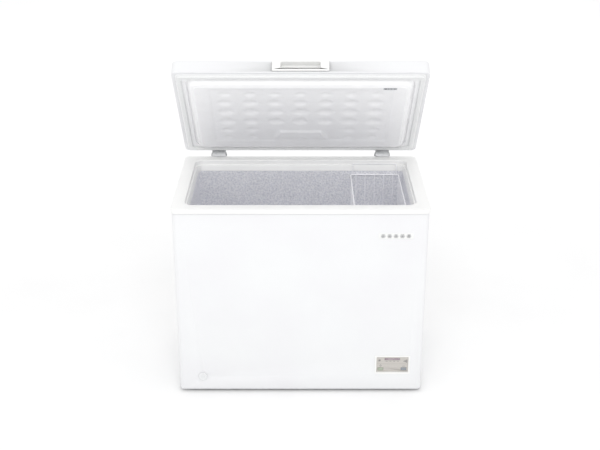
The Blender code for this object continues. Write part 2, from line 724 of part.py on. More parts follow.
def make_compressor_unit():
    rail_top = BASE_TOP + GAP + RAIL_HEIGHT
    sheet = RAIL_SHEET
    low_y = COMPRESSOR_Y - MOUNT_SPREAD_Y - RAIL_PAST_MOUNTS
    high_y = COMPRESSOR_Y + MOUNT_SPREAD_Y + RAIL_PAST_MOUNTS
    half = RAIL_WIDTH / 2 + MOUNT_SPREAD_X / 2
    outline = [
        (-half, BASE_TOP + GAP),
        (-half, rail_top),
        (half, rail_top),
        (half, BASE_TOP + GAP),
        (half - sheet, BASE_TOP + GAP),
        (half - sheet, rail_top - sheet),
        (-half + sheet, rail_top - sheet),
        (-half + sheet, BASE_TOP + GAP),
    ]
    prism("compressor_rail", outline, -high_y, -low_y, GALVANISED, centre=(COMPRESSOR_X, 0, 0), axis="y")

    mount_low = rail_top + GAP
    for number, (side_x, side_y) in enumerate(((-1, -1), (1, -1), (-1, 1), (1, 1)), 1):
        place = (COMPRESSOR_X + side_x * MOUNT_SPREAD_X, COMPRESSOR_Y + side_y * MOUNT_SPREAD_Y, mount_low)
        waist = MOUNT_RADIUS * 0.72
        profile = [
            (0, MOUNT_HEIGHT),
            (waist, MOUNT_HEIGHT),
            (waist, MOUNT_HEIGHT * 0.6),
            (MOUNT_RADIUS, MOUNT_HEIGHT * 0.45),
            (MOUNT_RADIUS, 0),
            (0, 0),
        ]
        turned(f"compressor_mount_{number}", profile, RUBBER, place, steps=12)

    plate_low = mount_low + MOUNT_HEIGHT + GAP
    around = MOUNT_RADIUS + PLATE_MARGIN
    half_x, half_y, corner = MOUNT_SPREAD_X + around, MOUNT_SPREAD_Y + around, 0.012
    sections = [(half_x, half_y, corner, plate_low), (half_x, half_y, corner, plate_low + PLATE_SHEET)]
    loft("compressor_plate", sections, BLACK_ENAMEL, centre=(COMPRESSOR_X, COMPRESSOR_Y, 0))

    shell_low = plate_low + PLATE_SHEET + GAP
    radius, height = COMPRESSOR_RADIUS, COMPRESSOR_HEIGHT
    flange = COMPRESSOR_SEAM
    seam = height * 0.46
    profile = [(0, height)]
    profile += [(radius * sin(a), height * 0.72 + height * 0.28 * cos(a)) for a in (0.45, 0.85, 1.2, pi / 2)]
    profile += [(radius, seam + flange), (radius + flange, seam + flange), (radius + flange, seam)]
    profile += [(radius, seam - 0.001), (radius, height * 0.22)]
    profile += [(radius * sin(a), height * 0.22 - height * 0.22 * cos(a)) for a in (1.1, 0.7, 0.4)]
    profile.append((0, 0))
    turned("compressor", profile, BLACK_ENAMEL, (COMPRESSOR_X, COMPRESSOR_Y, shell_low), steps=20)

    clear = radius + flange + 0.0015
    middle_z = shell_low + seam + 0.0085
    half_x, half_z = TERMINAL_WIDTH / 2, TERMINAL_HEIGHT / 2
    box(
        "terminal_cover",
        (COMPRESSOR_X - half_x, COMPRESSOR_Y - clear - TERMINAL_DEPTH, middle_z - half_z),
        (COMPRESSOR_X + half_x, COMPRESSOR_Y - clear, middle_z + half_z),
        DARK_PLASTIC,
        bevel=0.003,
    )
    drier_x = COMPARTMENT_X + DRIER_RADIUS + DRIER_FROM_WALL
    drier_y = HALF_Y - SHEET - DRIER_RADIUS - DRIER_FROM_BACK
    drier_z = BASE_TOP + DRIER_HEIGHT
    neck = PIPE_RADIUS
    profile = [
        (0, DRIER_LENGTH),
        (neck, DRIER_LENGTH),
        (neck, DRIER_LENGTH - 0.008),
        (DRIER_RADIUS, DRIER_LENGTH - 0.020),
        (DRIER_RADIUS, 0.020),
        (neck, 0.008),
        (neck, 0),
        (0, 0),
    ]
    turned("filter_drier", profile, COPPER, (drier_x, drier_y, drier_z), steps=12)

    top = COMPARTMENT_TOP - 0.012
    side = COMPRESSOR_X + radius * 0.30
    start_z = shell_low + height * 0.97 + PIPE_RADIUS
    suction = [(side, COMPRESSOR_Y, start_z + 0.004), (side, COMPRESSOR_Y, top - 0.014)]
    suction += [(side - 0.006, COMPRESSOR_Y, top - 0.004), (side - 0.014, COMPRESSOR_Y, top)]
    suction.append((COMPARTMENT_X + PIPE_RADIUS + 0.004, COMPRESSOR_Y, top))
    wire("suction_pipe", suction, PIPE_RADIUS, COPPER)

    out_y = COMPRESSOR_Y + 0.030
    front_x = HALF_X - SHEET - PIPE_RADIUS - 0.006
    discharge = [(side, out_y, start_z + 0.002), (side, out_y, top - 0.024)]
    discharge += [(side + 0.004, out_y, top - 0.017), (side + 0.012, out_y, top - 0.014)]
    discharge += [(front_x - 0.010, out_y, top - 0.014), (front_x, out_y - 0.010, top - 0.014)]
    discharge.append((front_x, FRONT_Y + 0.040, top - 0.014))
    wire("discharge_pipe", discharge, PIPE_RADIUS, COPPER)


def make_rear_cover(gland):
    """The louvred cover over the compressor compartment, with a hole for the cable gland."""
    (low_x, high_x), (low_z, high_z) = cover_span()
    outside = HALF_Y + GAP
    middle = ((low_x + high_x) / 2, outside, (low_z + high_z) / 2)
    half_x = (high_x - low_x) / 2 + COVER_OVERLAP
    half_z = (high_z - low_z) / 2 + COVER_OVERLAP
    sections = [(half_x, half_z, 0.005, -COVER_SHEET), (half_x, half_z, 0.005, 0)]
    cover = loft("rear_cover", sections, WHITE_PLASTIC, centre=middle, axis="y")
    slot_half = half_x - COVER_OVERLAP - 0.012
    highest = high_z - 0.020
    slots = []
    for number in range(LOUVRES):
        z = highest - number * LOUVRE_PITCH
        if z - LOUVRE_HEIGHT < low_z + 0.036:
            break
        slots.append(
            (
                (middle[0] - slot_half, outside - 0.01, z - LOUVRE_HEIGHT),
                (middle[0] + slot_half, outside + 0.01, z),
            )
        )
    add_boolean(cover, boxes_cutter("louvre_slots", slots))
    add_boolean(cover, gland)


def gland_place():
    (low_x, _), (low_z, _) = cover_span()
    return low_x + GLAND_FROM_SIDE, low_z + GLAND_FROM_BELOW


def make_cable_gland():
    x, z = gland_place()
    collar, body = GLAND_RADIUS + 0.004, GLAND_RADIUS - RUNNING_GAP
    bore = GLAND_BORE
    front = HALF_Y + GAP + COVER_SHEET + GAP
    profile = [
        (bore, 0.010),
        (body - 0.002, 0.010),
        (collar, 0.0035),
        (collar, 0),
        (body, 0),
        (body, -0.010),
        (bore, -0.010),
        (bore, 0.010),
    ]
    turned("cable_gland", profile, RUBBER, (x, front, z), turn=(-pi / 2, 0, 0), steps=16)


# ---------------------------------------------------------------- front fittings


def make_control_panel():
    middle = (CONTROL_X, FRONT_Y, CONTROL_HEIGHT)
    half_x, half_z = BEZEL_WIDTH / 2, BEZEL_HEIGHT / 2
    open_x, open_z = half_x - BEZEL_BORDER, half_z - BEZEL_BORDER
    sleeve = BEZEL_SLEEVE
    sections = [
        (open_x, open_z, 0.002, BEZEL_PROUD - 0.0006),
        (open_x + 0.001, open_z + 0.001, 0.003, BEZEL_PROUD),
        (half_x - 0.0015, half_z - 0.0015, 0.0035, BEZEL_PROUD),
        (half_x, half_z, 0.005, BEZEL_PROUD - 0.0012),
        (half_x, half_z, 0.005, GAP),
        (open_x + sleeve, open_z + sleeve, 0.0035, GAP),
        (open_x + sleeve, open_z + sleeve, 0.0035, -BEZEL_DEPTH),
        (open_x, open_z, 0.002, -BEZEL_DEPTH),
    ]
    loft("control_bezel", sections, WHITE_PLASTIC, centre=middle, axis="y", ring=True)

    plate_x, plate_z = open_x - GAP, open_z - GAP
    sections = [
        (plate_x, plate_z, 0.002, -PANEL_RECESS - PANEL_SHEET),
        (plate_x, plate_z, 0.002, -PANEL_RECESS),
    ]
    plate = loft("control_plate", sections, BRUSHED_PLATE, centre=middle, axis="y")
    button_z = CONTROL_HEIGHT - plate_z + BUTTON_MARGIN + BUTTON_HEIGHT / 2
    offset = plate_x - BUTTON_MARGIN - BUTTON_WIDTH / 2
    lens_z = CONTROL_HEIGHT + plate_z - LENS_BELOW_TOP - LENS_HEIGHT / 2
    front, behind = FRONT_Y + PANEL_RECESS, FRONT_Y + PANEL_RECESS + PANEL_SHEET
    button = (BUTTON_WIDTH, BUTTON_HEIGHT, BUTTON_PROUD, BUTTON_LENGTH)
    lens = (LENS_WIDTH, LENS_HEIGHT, LENS_PROUD, LENS_LENGTH)
    pieces = [
        ("button_left", BUTTON_GREEN, CONTROL_X - offset, button_z, button),
        ("button_right", BUTTON_GREY, CONTROL_X + offset, button_z, button),
        ("indicator_lens", SMOKED_LENS, CONTROL_X, lens_z, lens),
    ]
    windows = []
    for name, finish, x, z, (width, height, proud, length) in pieces:
        low = (x - width / 2, front - proud, z - height / 2)
        high = (x + width / 2, front - proud + length, z + height / 2)
        box(name, low, high, finish, bevel=0.0008)
        room = RUNNING_GAP
        windows.append(
            (
                (low[0] - room, front - 0.01, low[2] - room),
                (high[0] + room, behind + 0.01, high[2] + room),
            )
        )
    add_boolean(plate, boxes_cutter("panel_windows", windows))
    board_y = FRONT_Y + BEZEL_DEPTH - BOARD_SHEET - 0.001
    box(
        "control_board",
        (CONTROL_X - plate_x + 0.002, board_y, CONTROL_HEIGHT - plate_z + 0.002),
        (CONTROL_X + plate_x - 0.002, board_y + BOARD_SHEET, CONTROL_HEIGHT + plate_z - 0.002),
        CIRCUIT_BOARD,
    )
    room = sleeve + GAP
    return box(
        "panel_hole",
        (CONTROL_X - open_x - room, FRONT_Y - 0.01, CONTROL_HEIGHT - open_z - room),
        (CONTROL_X + open_x + room, FRONT_Y + 0.01, CONTROL_HEIGHT + open_z + room),
    )


def make_badge():
    x = HALF_X - BADGE_FROM_SIDE
    z = RIM_HEIGHT - BADGE_BELOW_RIM
    half_x, half_z = BADGE_WIDTH / 2, BADGE_HEIGHT / 2
    sections = [
        (half_x, half_z, 0.006, GAP),
        (half_x, half_z, 0.006, BADGE_SHEET * 0.6),
        (half_x - 0.0006, half_z - 0.0006, 0.0055, BADGE_SHEET),
    ]
    loft("badge", sections, BRUSHED_PLATE, centre=(x, FRONT_Y, z), axis="y")


def make_drain():
    """Tube from the tub's floor to the front, the stopper in the floor and the cap on the front."""
    end = FRONT_Y + SHEET / 2
    top = FLOOR_Z - LINER_WALL - GAP
    bend = DRAIN_BEND
    points = [(DRAIN_X, DRAIN_Y, top), (DRAIN_X, DRAIN_Y, DRAIN_HEIGHT + bend)]
    for angle in (pi / 6, pi / 3):
        points.append((DRAIN_X, DRAIN_Y - bend + bend * cos(angle), DRAIN_HEIGHT + bend - bend * sin(angle)))
    points += [(DRAIN_X, DRAIN_Y - bend, DRAIN_HEIGHT), (DRAIN_X, end, DRAIN_HEIGHT)]
    tube = wire("drain_tube", points, DRAIN_TUBE_RADIUS, WHITE_PLASTIC, resolution=2)
    first, last = Vector(points[0]), Vector(points[-1])
    longer = [tuple(first + Vector((0, 0, 0.01)))] + points[1:-1] + [tuple(last - Vector((0, 0.01, 0)))]
    bore_mesh = mesh_from_curve(
        wire_curve("drain_bore", longer, DRAIN_BORE, resolution=2), "drain_bore", Matrix.Identity(4)
    )
    add_boolean(tube, finish_object("drain_bore", bore_mesh, None, (0, 0, 0), CABINET))

    stub = DRAIN_BORE - 2 * RUNNING_GAP
    cap = DRAIN_CAP_RADIUS
    face = GAP + DRAIN_CAP_PROUD
    profile = [
        (0, face),
        (cap - 0.005, face),
        (cap, face - 0.003),
        (cap, GAP),
        (stub, GAP),
        (stub * 0.9, -DRAIN_STUB),
        (0, -DRAIN_STUB),
    ]
    place = (DRAIN_X, FRONT_Y, DRAIN_HEIGHT)
    turned("drain_cap", profile, GREY_PLASTIC, place, turn=(pi / 2, 0, 0), steps=24)

    profile = [
        (0, PLUG_HEAD_HEIGHT),
        (PLUG_HEAD_RADIUS - 0.002, PLUG_HEAD_HEIGHT),
        (PLUG_HEAD_RADIUS, PLUG_HEAD_HEIGHT / 2),
        (PLUG_HEAD_RADIUS, GAP),
        (stub, GAP),
        (stub * 0.9, -DRAIN_STUB),
        (0, -DRAIN_STUB),
    ]
    turned("drain_plug", profile, RUBBER, (DRAIN_X, DRAIN_Y, FLOOR_Z), steps=16)
    floor_place, front_place = [(DRAIN_X, DRAIN_Y)], [(DRAIN_X, DRAIN_HEIGHT)]
    floor_hole = cylinders_cutter(
        "floor_drain_hole", floor_place, DRAIN_BORE, FLOOR_Z - 0.01, FLOOR_Z + 0.01, "z", sides=16
    )
    around_tube = DRAIN_TUBE_RADIUS + 2 * GAP
    front_hole = cylinders_cutter(
        "front_drain_hole", front_place, around_tube, FRONT_Y - 0.01, FRONT_Y + 0.01, sides=16
    )
    return floor_hole, front_hole


# ---------------------------------------------------------------- lid


def lid_section(inset_x, inset_y, radius, height):
    return (HALF_TOP_X - inset_x, LID_HALF_Y - inset_y, radius, height)


def make_lid_skin(cuts):
    """The painted steel pan, with a hem turned in along its lower edge."""
    radius = CORNER_RADIUS + 0.004
    edge = LID_EDGE
    hem = HEM_WIDTH
    under = LID_BOTTOM + SHEET
    inside = SHEET
    shoulder = edge * 0.30  # on the rounded edge, halfway between the side and the top
    sections = [
        lid_section(edge, edge, radius - edge * 0.5, LID_TOP),
        lid_section(shoulder, shoulder, radius, LID_TOP - shoulder),
        lid_section(0, 0, radius, LID_TOP - edge),
        lid_section(0, 0, radius, LID_BOTTOM + 0.0015),
        lid_section(0.0015, 0.0015, radius - 0.001, LID_BOTTOM),
        lid_section(hem, hem, radius - 0.006, LID_BOTTOM),
        lid_section(hem, hem, radius - 0.006, under),
        lid_section(inside, inside, radius - inside, under),
        lid_section(inside, inside, radius - inside, LID_TOP - edge),
        lid_section(shoulder + inside, shoulder + inside, radius - inside, LID_TOP - shoulder - inside),
        lid_section(edge + inside, edge + inside, radius - edge * 0.5, LID_TOP - inside),
    ]
    skin = loft("lid_skin", sections, PAINTED_STEEL, parent=LID, smooth=30)
    for cutter in cuts:
        add_boolean(skin, cutter)


def plug_insets():
    """Insets of the plug's flat face from the lid's edge, at the sides and at the ends."""
    return PLUG_INSET_SIDE + PLUG_SLOPE, PLUG_INSET_END + PLUG_SLOPE


def make_lid_liner():
    """The vacuum-formed inner panel: flange, groove and the plug that fills the tub's mouth."""
    wall = LID_LINER_WALL
    low, high = LID_BOTTOM, LID_BOTTOM + GROOVE_DEPTH
    face_x, face_y = plug_insets()
    face = LID_BOTTOM - PLUG_DROP
    rim = HEM_WIDTH + GAP
    side, end, width = PLUG_INSET_SIDE, PLUG_INSET_END, GROOVE_WIDTH
    outer, corner = CORNER_RADIUS - 0.001, 0.024
    sections = [
        lid_section(face_x + 0.003, face_y + 0.003, corner - 0.004, face),
        lid_section(face_x, face_y, corner, face + 0.0015),
        lid_section(side, end, corner + 0.010, low + GROOVE_DEPTH - wall),
        lid_section(side - width * 0.3, end - width * 0.3, corner + 0.010, high),
        lid_section(side - width * 0.8, end - width * 0.8, corner + 0.010, high),
        lid_section(side - width, end - width, corner + 0.010, low),
        lid_section(rim, rim, outer, low),
        lid_section(rim, rim, outer, low + wall),
        lid_section(side - width - wall, end - width - wall, corner + 0.010, low + wall),
        lid_section(side - width * 0.8 - wall, end - width * 0.8 - wall, corner + 0.010, high + wall),
        lid_section(side - width * 0.3 + wall, end - width * 0.3 + wall, corner + 0.008, high + wall),
        lid_section(side + wall, end + wall, corner + 0.008, high - wall),
        lid_section(face_x + wall, face_y + wall, corner - 0.001, face + 0.0015 + wall),
        lid_section(face_x + 0.003, face_y + 0.003, corner - 0.004, face + wall),
    ]
    loft("lid_liner", sections, LID_PLASTIC, parent=LID, smooth=25)


def make_lid_foam(cuts):
    wall = LID_LINER_WALL
    floor = LID_BOTTOM + GROOVE_DEPTH + wall + GAP
    face_x, face_y = plug_insets()
    face = LID_BOTTOM - PLUG_DROP + wall + 0.0015
    edge = SHEET + GAP
    inset = edge + LID_EDGE * 0.5
    radius = CORNER_RADIUS + 0.004
    clear = 0.006
    sections = [
        lid_section(face_x + clear, face_y + clear, 0.018, face),
        lid_section(PLUG_INSET_SIDE + clear, PLUG_INSET_END + clear, 0.030, floor - 0.004),
        lid_section(PLUG_INSET_SIDE + clear, PLUG_INSET_END + clear, 0.030, floor),
        lid_section(edge, edge, radius, floor),
        lid_section(edge, edge, radius, LID_TOP - LID_EDGE),
        lid_section(inset, inset, radius, LID_TOP - LID_EDGE * 0.5 - SHEET - GAP),
        lid_section(LID_EDGE + edge, LID_EDGE + edge, radius - 0.002, LID_TOP - SHEET - 2 * GAP),
    ]
    foam = loft("lid_foam", sections, POLYURETHANE, parent=LID)
    for cutter in cuts:
        add_boolean(foam, cutter)


def make_lid_gasket():
    """The magnetic seal, wide where it is held in the lid and narrow where it meets the rim."""
    outer, inner = GASKET_INSET, GASKET_INSET + GASKET_WIDTH
    low, high = RIM_HEIGHT + GAP, LID_BOTTOM - GAP
    waist = high - (high - low) * 0.35
    narrow = GASKET_WAIST
    outer_radius, inner_radius = 0.012, 0.014
    sections = [
        lid_section(outer, outer, outer_radius, high),
        lid_section(outer, outer, outer_radius, waist + 0.001),
        lid_section(outer + narrow, outer + narrow, outer_radius, waist),
        lid_section(outer + narrow - 0.001, outer + narrow - 0.001, outer_radius, low),
        lid_section(inner - narrow + 0.001, inner - narrow + 0.001, inner_radius, low),
        lid_section(inner - narrow, inner - narrow, inner_radius, waist),
        lid_section(inner, inner, inner_radius, waist + 0.001),
        lid_section(inner, inner, inner_radius, high),
    ]
    loft("lid_gasket", sections, GASKET_PVC, parent=LID, ring=True, smooth=25)


def recess_place():
    """The handle's finger recess: its middle height on the lid's front."""
    return LID_BOTTOM + RECESS_ABOVE_EDGE + RECESS_HEIGHT / 2


def make_lid_handle():
    """The handle moulding: a plate on the lid's front with a finger recess let into the lid."""
    front = -LID_HALF_Y - HANDLE_PROUD
    behind = -LID_HALF_Y - GAP
    middle = recess_place()
    low = LID_BOTTOM + (LID_HEIGHT - HANDLE_HEIGHT) / 2
    half_x, half_z = RECESS_WIDTH / 2, RECESS_HEIGHT / 2
    handle = box(
        "lid_handle",
        (-HANDLE_WIDTH / 2, front, low),
        (HANDLE_WIDTH / 2, behind, low + HANDLE_HEIGHT),
        WHITE_PLASTIC,
        LID,
        bevel=HANDLE_EDGE,
    )
    wall = HANDLE_WALL
    pocket = box(
        "handle_pocket",
        (-half_x - wall, front + 0.005, middle - half_z - wall),
        (half_x + wall, front + RECESS_DEPTH + wall, middle + half_z + wall),
        parent=LID,
    )
    recess = loft(
        "handle_recess",
        [
            (half_x, half_z, RECESS_CORNER, -RECESS_DEPTH),
            (half_x, half_z, RECESS_CORNER, 0.01),
        ],
        centre=(0, front, middle),
        axis="y",
        parent=LID,
    )
    add_boolean(handle, pocket, "UNION")
    add_boolean(handle, recess)
    room = wall + 2 * GAP
    return box(
        "handle_opening",
        (-half_x - room, front, middle - half_z - room),
        (half_x + room, front + RECESS_DEPTH + room, middle + half_z + room),
        parent=LID,
    )


def make_star_label():
    y = -LID_HALF_Y + LABEL_FROM_FRONT
    top = LID_BOTTOM - PLUG_DROP - GAP
    box(
        "star_label",
        (LABEL_X - LABEL_WIDTH / 2, y - LABEL_HEIGHT / 2, top - LABEL_SHEET),
        (LABEL_X + LABEL_WIDTH / 2, y + LABEL_HEIGHT / 2, top),
        LABEL_PRINT,
        LID,
    )


# ---------------------------------------------------------------- hinges


def housing_screw_places():
    """(x, z) of the screws through the housings' flanges."""
    z = HINGE_Z - HOUSING_LENGTH + FLANGE_LENGTH / 2
    offset = HINGE_WIDTH / 2 + FLANGE_WIDTH / 2
    return {
        f"{side}_{number}": (x + sign * offset, z)
        for side, x in HINGES.items()
        for number, sign in ((1, -1), (2, 1))
    }


def leaf_screw_places():
    """(x, z) of the screws that hold the leaves to the lid, with the lid closed."""
    z = LID_BOTTOM + LEAF_RISE * 0.62
    return {
        f"{side}_{number}": (x + sign * HINGE_WIDTH * 0.25, z)
        for side, x in HINGES.items()
        for number, sign in ((1, -1), (2, 1))
    }


def make_screws(prefix, places, face_y, parent):
    profile = [
        (0, SCREW_HEAD),
        (SCREW_HEAD_RADIUS * 0.6, SCREW_HEAD),
        (SCREW_HEAD_RADIUS, SCREW_HEAD * 0.4),
        (SCREW_HEAD_RADIUS, 0),
        (SCREW_RADIUS, 0),
        (SCREW_RADIUS, -SCREW_LENGTH),
        (0, -SCREW_LENGTH),
    ]
    for key, (x, z) in places.items():
        turned(f"{prefix}_{key}", profile, GALVANISED, (x, face_y, z), parent, (-pi / 2, 0, 0), steps=12)


def make_hinge_housing(side, x, screw_holes):
    """The channel on the back wall that holds the pin, the slider and the spring."""
    wall = HALF_Y + GAP
    lip = HALF_TOP_Y + GAP
    back = HINGE_Y + HOUSING_ROUND
    bottom = HINGE_Z - HOUSING_LENGTH
    lip_bottom = RIM_HEIGHT - FRAME_LIP - 0.001
    outline = [(wall, bottom), (back, bottom)]
    outline += arc((HINGE_Y, HINGE_Z), HOUSING_ROUND, 0, pi, 8)
    outline += [(lip, HINGE_Z - 0.010), (lip, lip_bottom), (wall, lip_bottom)]
    half = HINGE_WIDTH / 2
    housing = prism(f"hinge_housing_{side}", outline, -half, half, GALVANISED, centre=(x, 0, 0))
    flange = box(
        f"hinge_flange_{side}",
        (x - half - FLANGE_WIDTH, wall, bottom),
        (x + half + FLANGE_WIDTH, wall + HINGE_SHEET, bottom + FLANGE_LENGTH),
    )
    add_boolean(housing, flange, "UNION")
    inner = half - HINGE_SHEET
    web_top = HINGE_Z - CAM_LOW / 2
    spaces = boxes_cutter(
        f"hinge_space_{side}",
        [((x - inner, wall - 0.01, bottom + HINGE_SHEET), (x + inner, back - HINGE_SHEET, web_top))],
    )
    add_boolean(housing, spaces)
    above = box(
        f"hinge_above_{side}",
        (x - inner, wall - 0.01, web_top - 0.001),
        (x + inner, back + 0.01, HINGE_Z + 0.05),
    )
    add_boolean(housing, above)
    pin_hole = hinge_bore(f"hinge_bore_{side}", x, CABINET)
    add_boolean(housing, pin_hole)
    add_boolean(housing, screw_holes)


def hinge_bore(name, x, parent):
    bm = bmesh.new()
    radius = PIN_RADIUS + RUNNING_GAP
    bmesh.ops.create_cone(
        bm,
        cap_ends=True,
        segments=12,
        radius1=radius,
        radius2=radius,
        depth=HINGE_WIDTH + 0.02,
        matrix=Matrix.Rotation(pi / 2, 4, "Y"),
    )
    return finish_object(name, mesh_of(bm, name), None, (x, HINGE_Y, HINGE_Z), parent)


def make_hinge_pin(side, x):
    half = HINGE_WIDTH / 2 + GAP
    profile = [
        (0, half + PIN_HEAD),
        (PIN_HEAD_RADIUS, half + PIN_HEAD),
        (PIN_HEAD_RADIUS, half),
        (PIN_RADIUS, half),
        (PIN_RADIUS, -half),
        (PIN_HEAD_RADIUS, -half),
        (PIN_HEAD_RADIUS, -half - PIN_HEAD),
        (0, -half - PIN_HEAD),
    ]
    turned(f"hinge_pin_{side}", profile, SPRING_STEEL, (x, HINGE_Y, HINGE_Z), turn=(0, pi / 2, 0), steps=12)


def cam_point(angle):
    """Where a flat slider meets the cam at this lid angle, from the pin, with the lid closed."""
    reach = CAM_HIGH - CAM_RATE * angle
    y = reach * sin(angle) - CAM_RATE * cos(angle)
    z = -reach * cos(angle) - CAM_RATE * sin(angle)
    return y, z


def make_hinge_leaf(side, x, screw_holes):
    """The bracket on the lid's back: a plate, the web that it bends into, and two ears that end in cams."""
    plate = LID_HALF_Y + GAP - HINGE_Y
    steps = 8
    outline = [(plate, LID_BOTTOM + 0.004 - HINGE_Z), (plate, LID_BOTTOM + LEAF_RISE - HINGE_Z)]
    outline += [(plate / 2, LID_BOTTOM + LEAF_RISE - HINGE_Z), (-0.002, CAM_LOW + 0.006)]
    outline += arc((0, 0), CAM_LOW, pi / 2, -(pi / 2 - FULL_ANGLE), 4)
    outline += [cam_point(FULL_ANGLE * (1 - i / steps)) for i in range(steps + 1)]
    outline += [(-CAM_RATE - 0.004, -CAM_HIGH * 0.7), (plate + 0.003, -0.002)]
    half = HINGE_WIDTH / 2 - HINGE_SHEET - RUNNING_GAP
    leaf = prism(f"hinge_leaf_{side}", outline, -half, half, GALVANISED, LID, (x, HINGE_Y, HINGE_Z))
    inner = half - HINGE_SHEET
    low, high = -0.05, LID_TOP + 0.05 - HINGE_Z
    space = [
        (plate + HINGE_SHEET, high),
        (plate + HINGE_SHEET, LID_BOTTOM + 0.004 - HINGE_Z),
        (plate + 0.003 + HINGE_SHEET, -0.002),
        (-CAM_RATE - 0.004 + HINGE_SHEET, -CAM_HIGH * 0.7),
        (-CAM_RATE - 0.004 + HINGE_SHEET, low),
        (0.05, low),
        (0.05, high),
    ]
    cut = prism(f"leaf_space_{side}", space, -inner, inner, None, LID, (x, HINGE_Y, HINGE_Z))
    add_boolean(leaf, cut)
    add_boolean(leaf, hinge_bore(f"leaf_bore_{side}", x, LID))
    add_boolean(leaf, screw_holes)


def slider_top():
    return HINGE_Z - (CAM_HIGH - CAM_RATE * OPEN_ANGLE) - GAP


def make_hinge_slider(side, x):
    """The pusher that the cams press down on the spring."""
    top = slider_top()
    half = HINGE_WIDTH / 2 - HINGE_SHEET - RUNNING_GAP
    front = HALF_TOP_Y + 0.004
    back = HINGE_Y + HOUSING_ROUND - HINGE_SHEET - RUNNING_GAP
    slider = box(
        f"hinge_slider_{side}",
        (x - half, front, top - SLIDER_HEIGHT),
        (x + half, back, top),
        DARK_PLASTIC,
    )
    stem = cylinders_cutter(
        f"slider_stem_{side}",
        [(x, HINGE_Y + SPRING_OFFSET)],
        SLIDER_STEM_RADIUS,
        top - SLIDER_HEIGHT - SLIDER_STEM,
        top - SLIDER_HEIGHT / 2,
        axis="z",
    )
    add_boolean(slider, stem, "UNION")


def make_hinge_spring(side, x):
    """The compression spring between the slider and the foot of the housing."""
    low = HINGE_Z - HOUSING_LENGTH + HINGE_SHEET + SPRING_WIRE + GAP
    high = slider_top() - SLIDER_HEIGHT - SPRING_WIRE - GAP
    around = 10
    count = SPRING_TURNS * around
    points = []
    for i in range(count + 1):
        angle = 2 * pi * i / around
        height = low + (high - low) * i / count
        points.append((SPRING_RADIUS * cos(angle), SPRING_RADIUS * sin(angle), height - low))
    centre = (x, HINGE_Y + SPRING_OFFSET, low)
    wire(f"hinge_spring_{side}", points, SPRING_WIRE, SPRING_STEEL, centre=centre)


def make_hinges(housing_holes, leaf_holes):
    for side, x in HINGES.items():
        make_hinge_housing(side, x, housing_holes)
        make_hinge_pin(side, x)
        make_hinge_leaf(side, x, leaf_holes)
        make_hinge_slider(side, x)
        make_hinge_spring(side, x)
    make_screws("housing_screw", housing_screw_places(), HALF_Y + GAP + HINGE_SHEET + GAP, CABINET)
    make_screws("leaf_screw", leaf_screw_places(), LID_HALF_Y + GAP + HINGE_SHEET + GAP, LID)


# ---------------------------------------------------------------- basket


def make_basket():
    """A hanging basket of flat bars in the wires' places, open at the top, with a hook at each end."""
    high_x = TUB_X - BASKET_FROM_SIDE
    low_x = high_x - BASKET_WIDTH
    half_y = TUB_Y - BASKET_END_GAP
    top = RIM_HEIGHT - BASKET_BELOW_RIM
    bottom = top - BASKET_DEPTH
    middle = ((low_x + high_x) / 2, 0, top)
    half_x = BASKET_WIDTH / 2
    bar = BASKET_BAR
    wire_size = BASKET_WIRE
    turn = 0.006 - BASKET_DEPTH  # where the walls turn in to the floor

    def at(inset, corner, height):
        return (half_x - inset, half_y - inset, corner, height)

    sections = [
        at(wire_size * 1.5, BASKET_RADIUS, -BASKET_DEPTH),
        at(0, BASKET_RADIUS, turn),
        at(0, BASKET_RADIUS, 0),
        at(wire_size, BASKET_RADIUS - wire_size, 0),
        at(wire_size, BASKET_RADIUS - wire_size, turn + wire_size / 2),
        at(wire_size * 2, BASKET_RADIUS - wire_size, -BASKET_DEPTH + wire_size),
    ]
    basket = loft("basket", sections, COATED_WIRE, centre=middle)
    hook_z = RIM_HEIGHT - LEDGE_DEPTH + wire_size / 2 + GAP - top
    hook_y = MOUTH_Y - wire_size / 2 - 2 * GAP
    leg_x, leg_y = half_x - HOOK_INSET, half_y - wire_size / 2
    bend = HOOK_BEND
    for end in (-1, 1):
        points = []
        for sign in (-1, 1):
            leg = [
                (sign * leg_x, end * leg_y, -0.012),
                (sign * leg_x, end * leg_y, hook_z - bend / 2),
                (sign * leg_x, end * (leg_y + bend / 2), hook_z),
                (sign * leg_x, end * (hook_y - bend), hook_z),
                (sign * (leg_x - bend * 0.3), end * (hook_y - bend * 0.3), hook_z),
                (sign * (leg_x - bend), end * hook_y, hook_z),
            ]
            points += leg if sign < 0 else leg[::-1]
        mesh = mesh_from_curve(
            wire_curve(f"basket_hook_{end}", points, wire_size / 2), f"basket_hook_{end}", Matrix.Identity(4)
        )
        add_boolean(basket, finish_object(f"basket_hook_{end}", mesh, None, middle, CABINET), "UNION")

    def slots(half, length, low, high, along):
        """Spans between bars, counted from the middle outwards."""
        spans = []
        count = int((2 * half - 2 * BASKET_RADIUS) / BASKET_PITCH)
        start = -count * BASKET_PITCH / 2
        for number in range(count):
            a = start + number * BASKET_PITCH + wire_size / 2
            b = a + BASKET_PITCH - wire_size
            if along == "y":
                spans.append(((middle[0] + a, -length, low), (middle[0] + b, length, high)))
            else:
                spans.append(((middle[0] - length, a, low), (middle[0] + length, b, high)))
        return spans

    low, high = bottom + 0.012, top - bar
    add_boolean(basket, boxes_cutter("basket_end_slots", slots(half_x, 1, low, high, "y")))
    add_boolean(basket, boxes_cutter("basket_side_slots", slots(half_y, half_x + 0.01, low, high, "x")))
    floor_slots = slots(half_x, half_y - 3 * wire_size, bottom - 0.01, bottom + 0.009, "y")
    add_boolean(basket, boxes_cutter("basket_floor_slots", floor_slots))


# ---------------------------------------------------------------- assembly


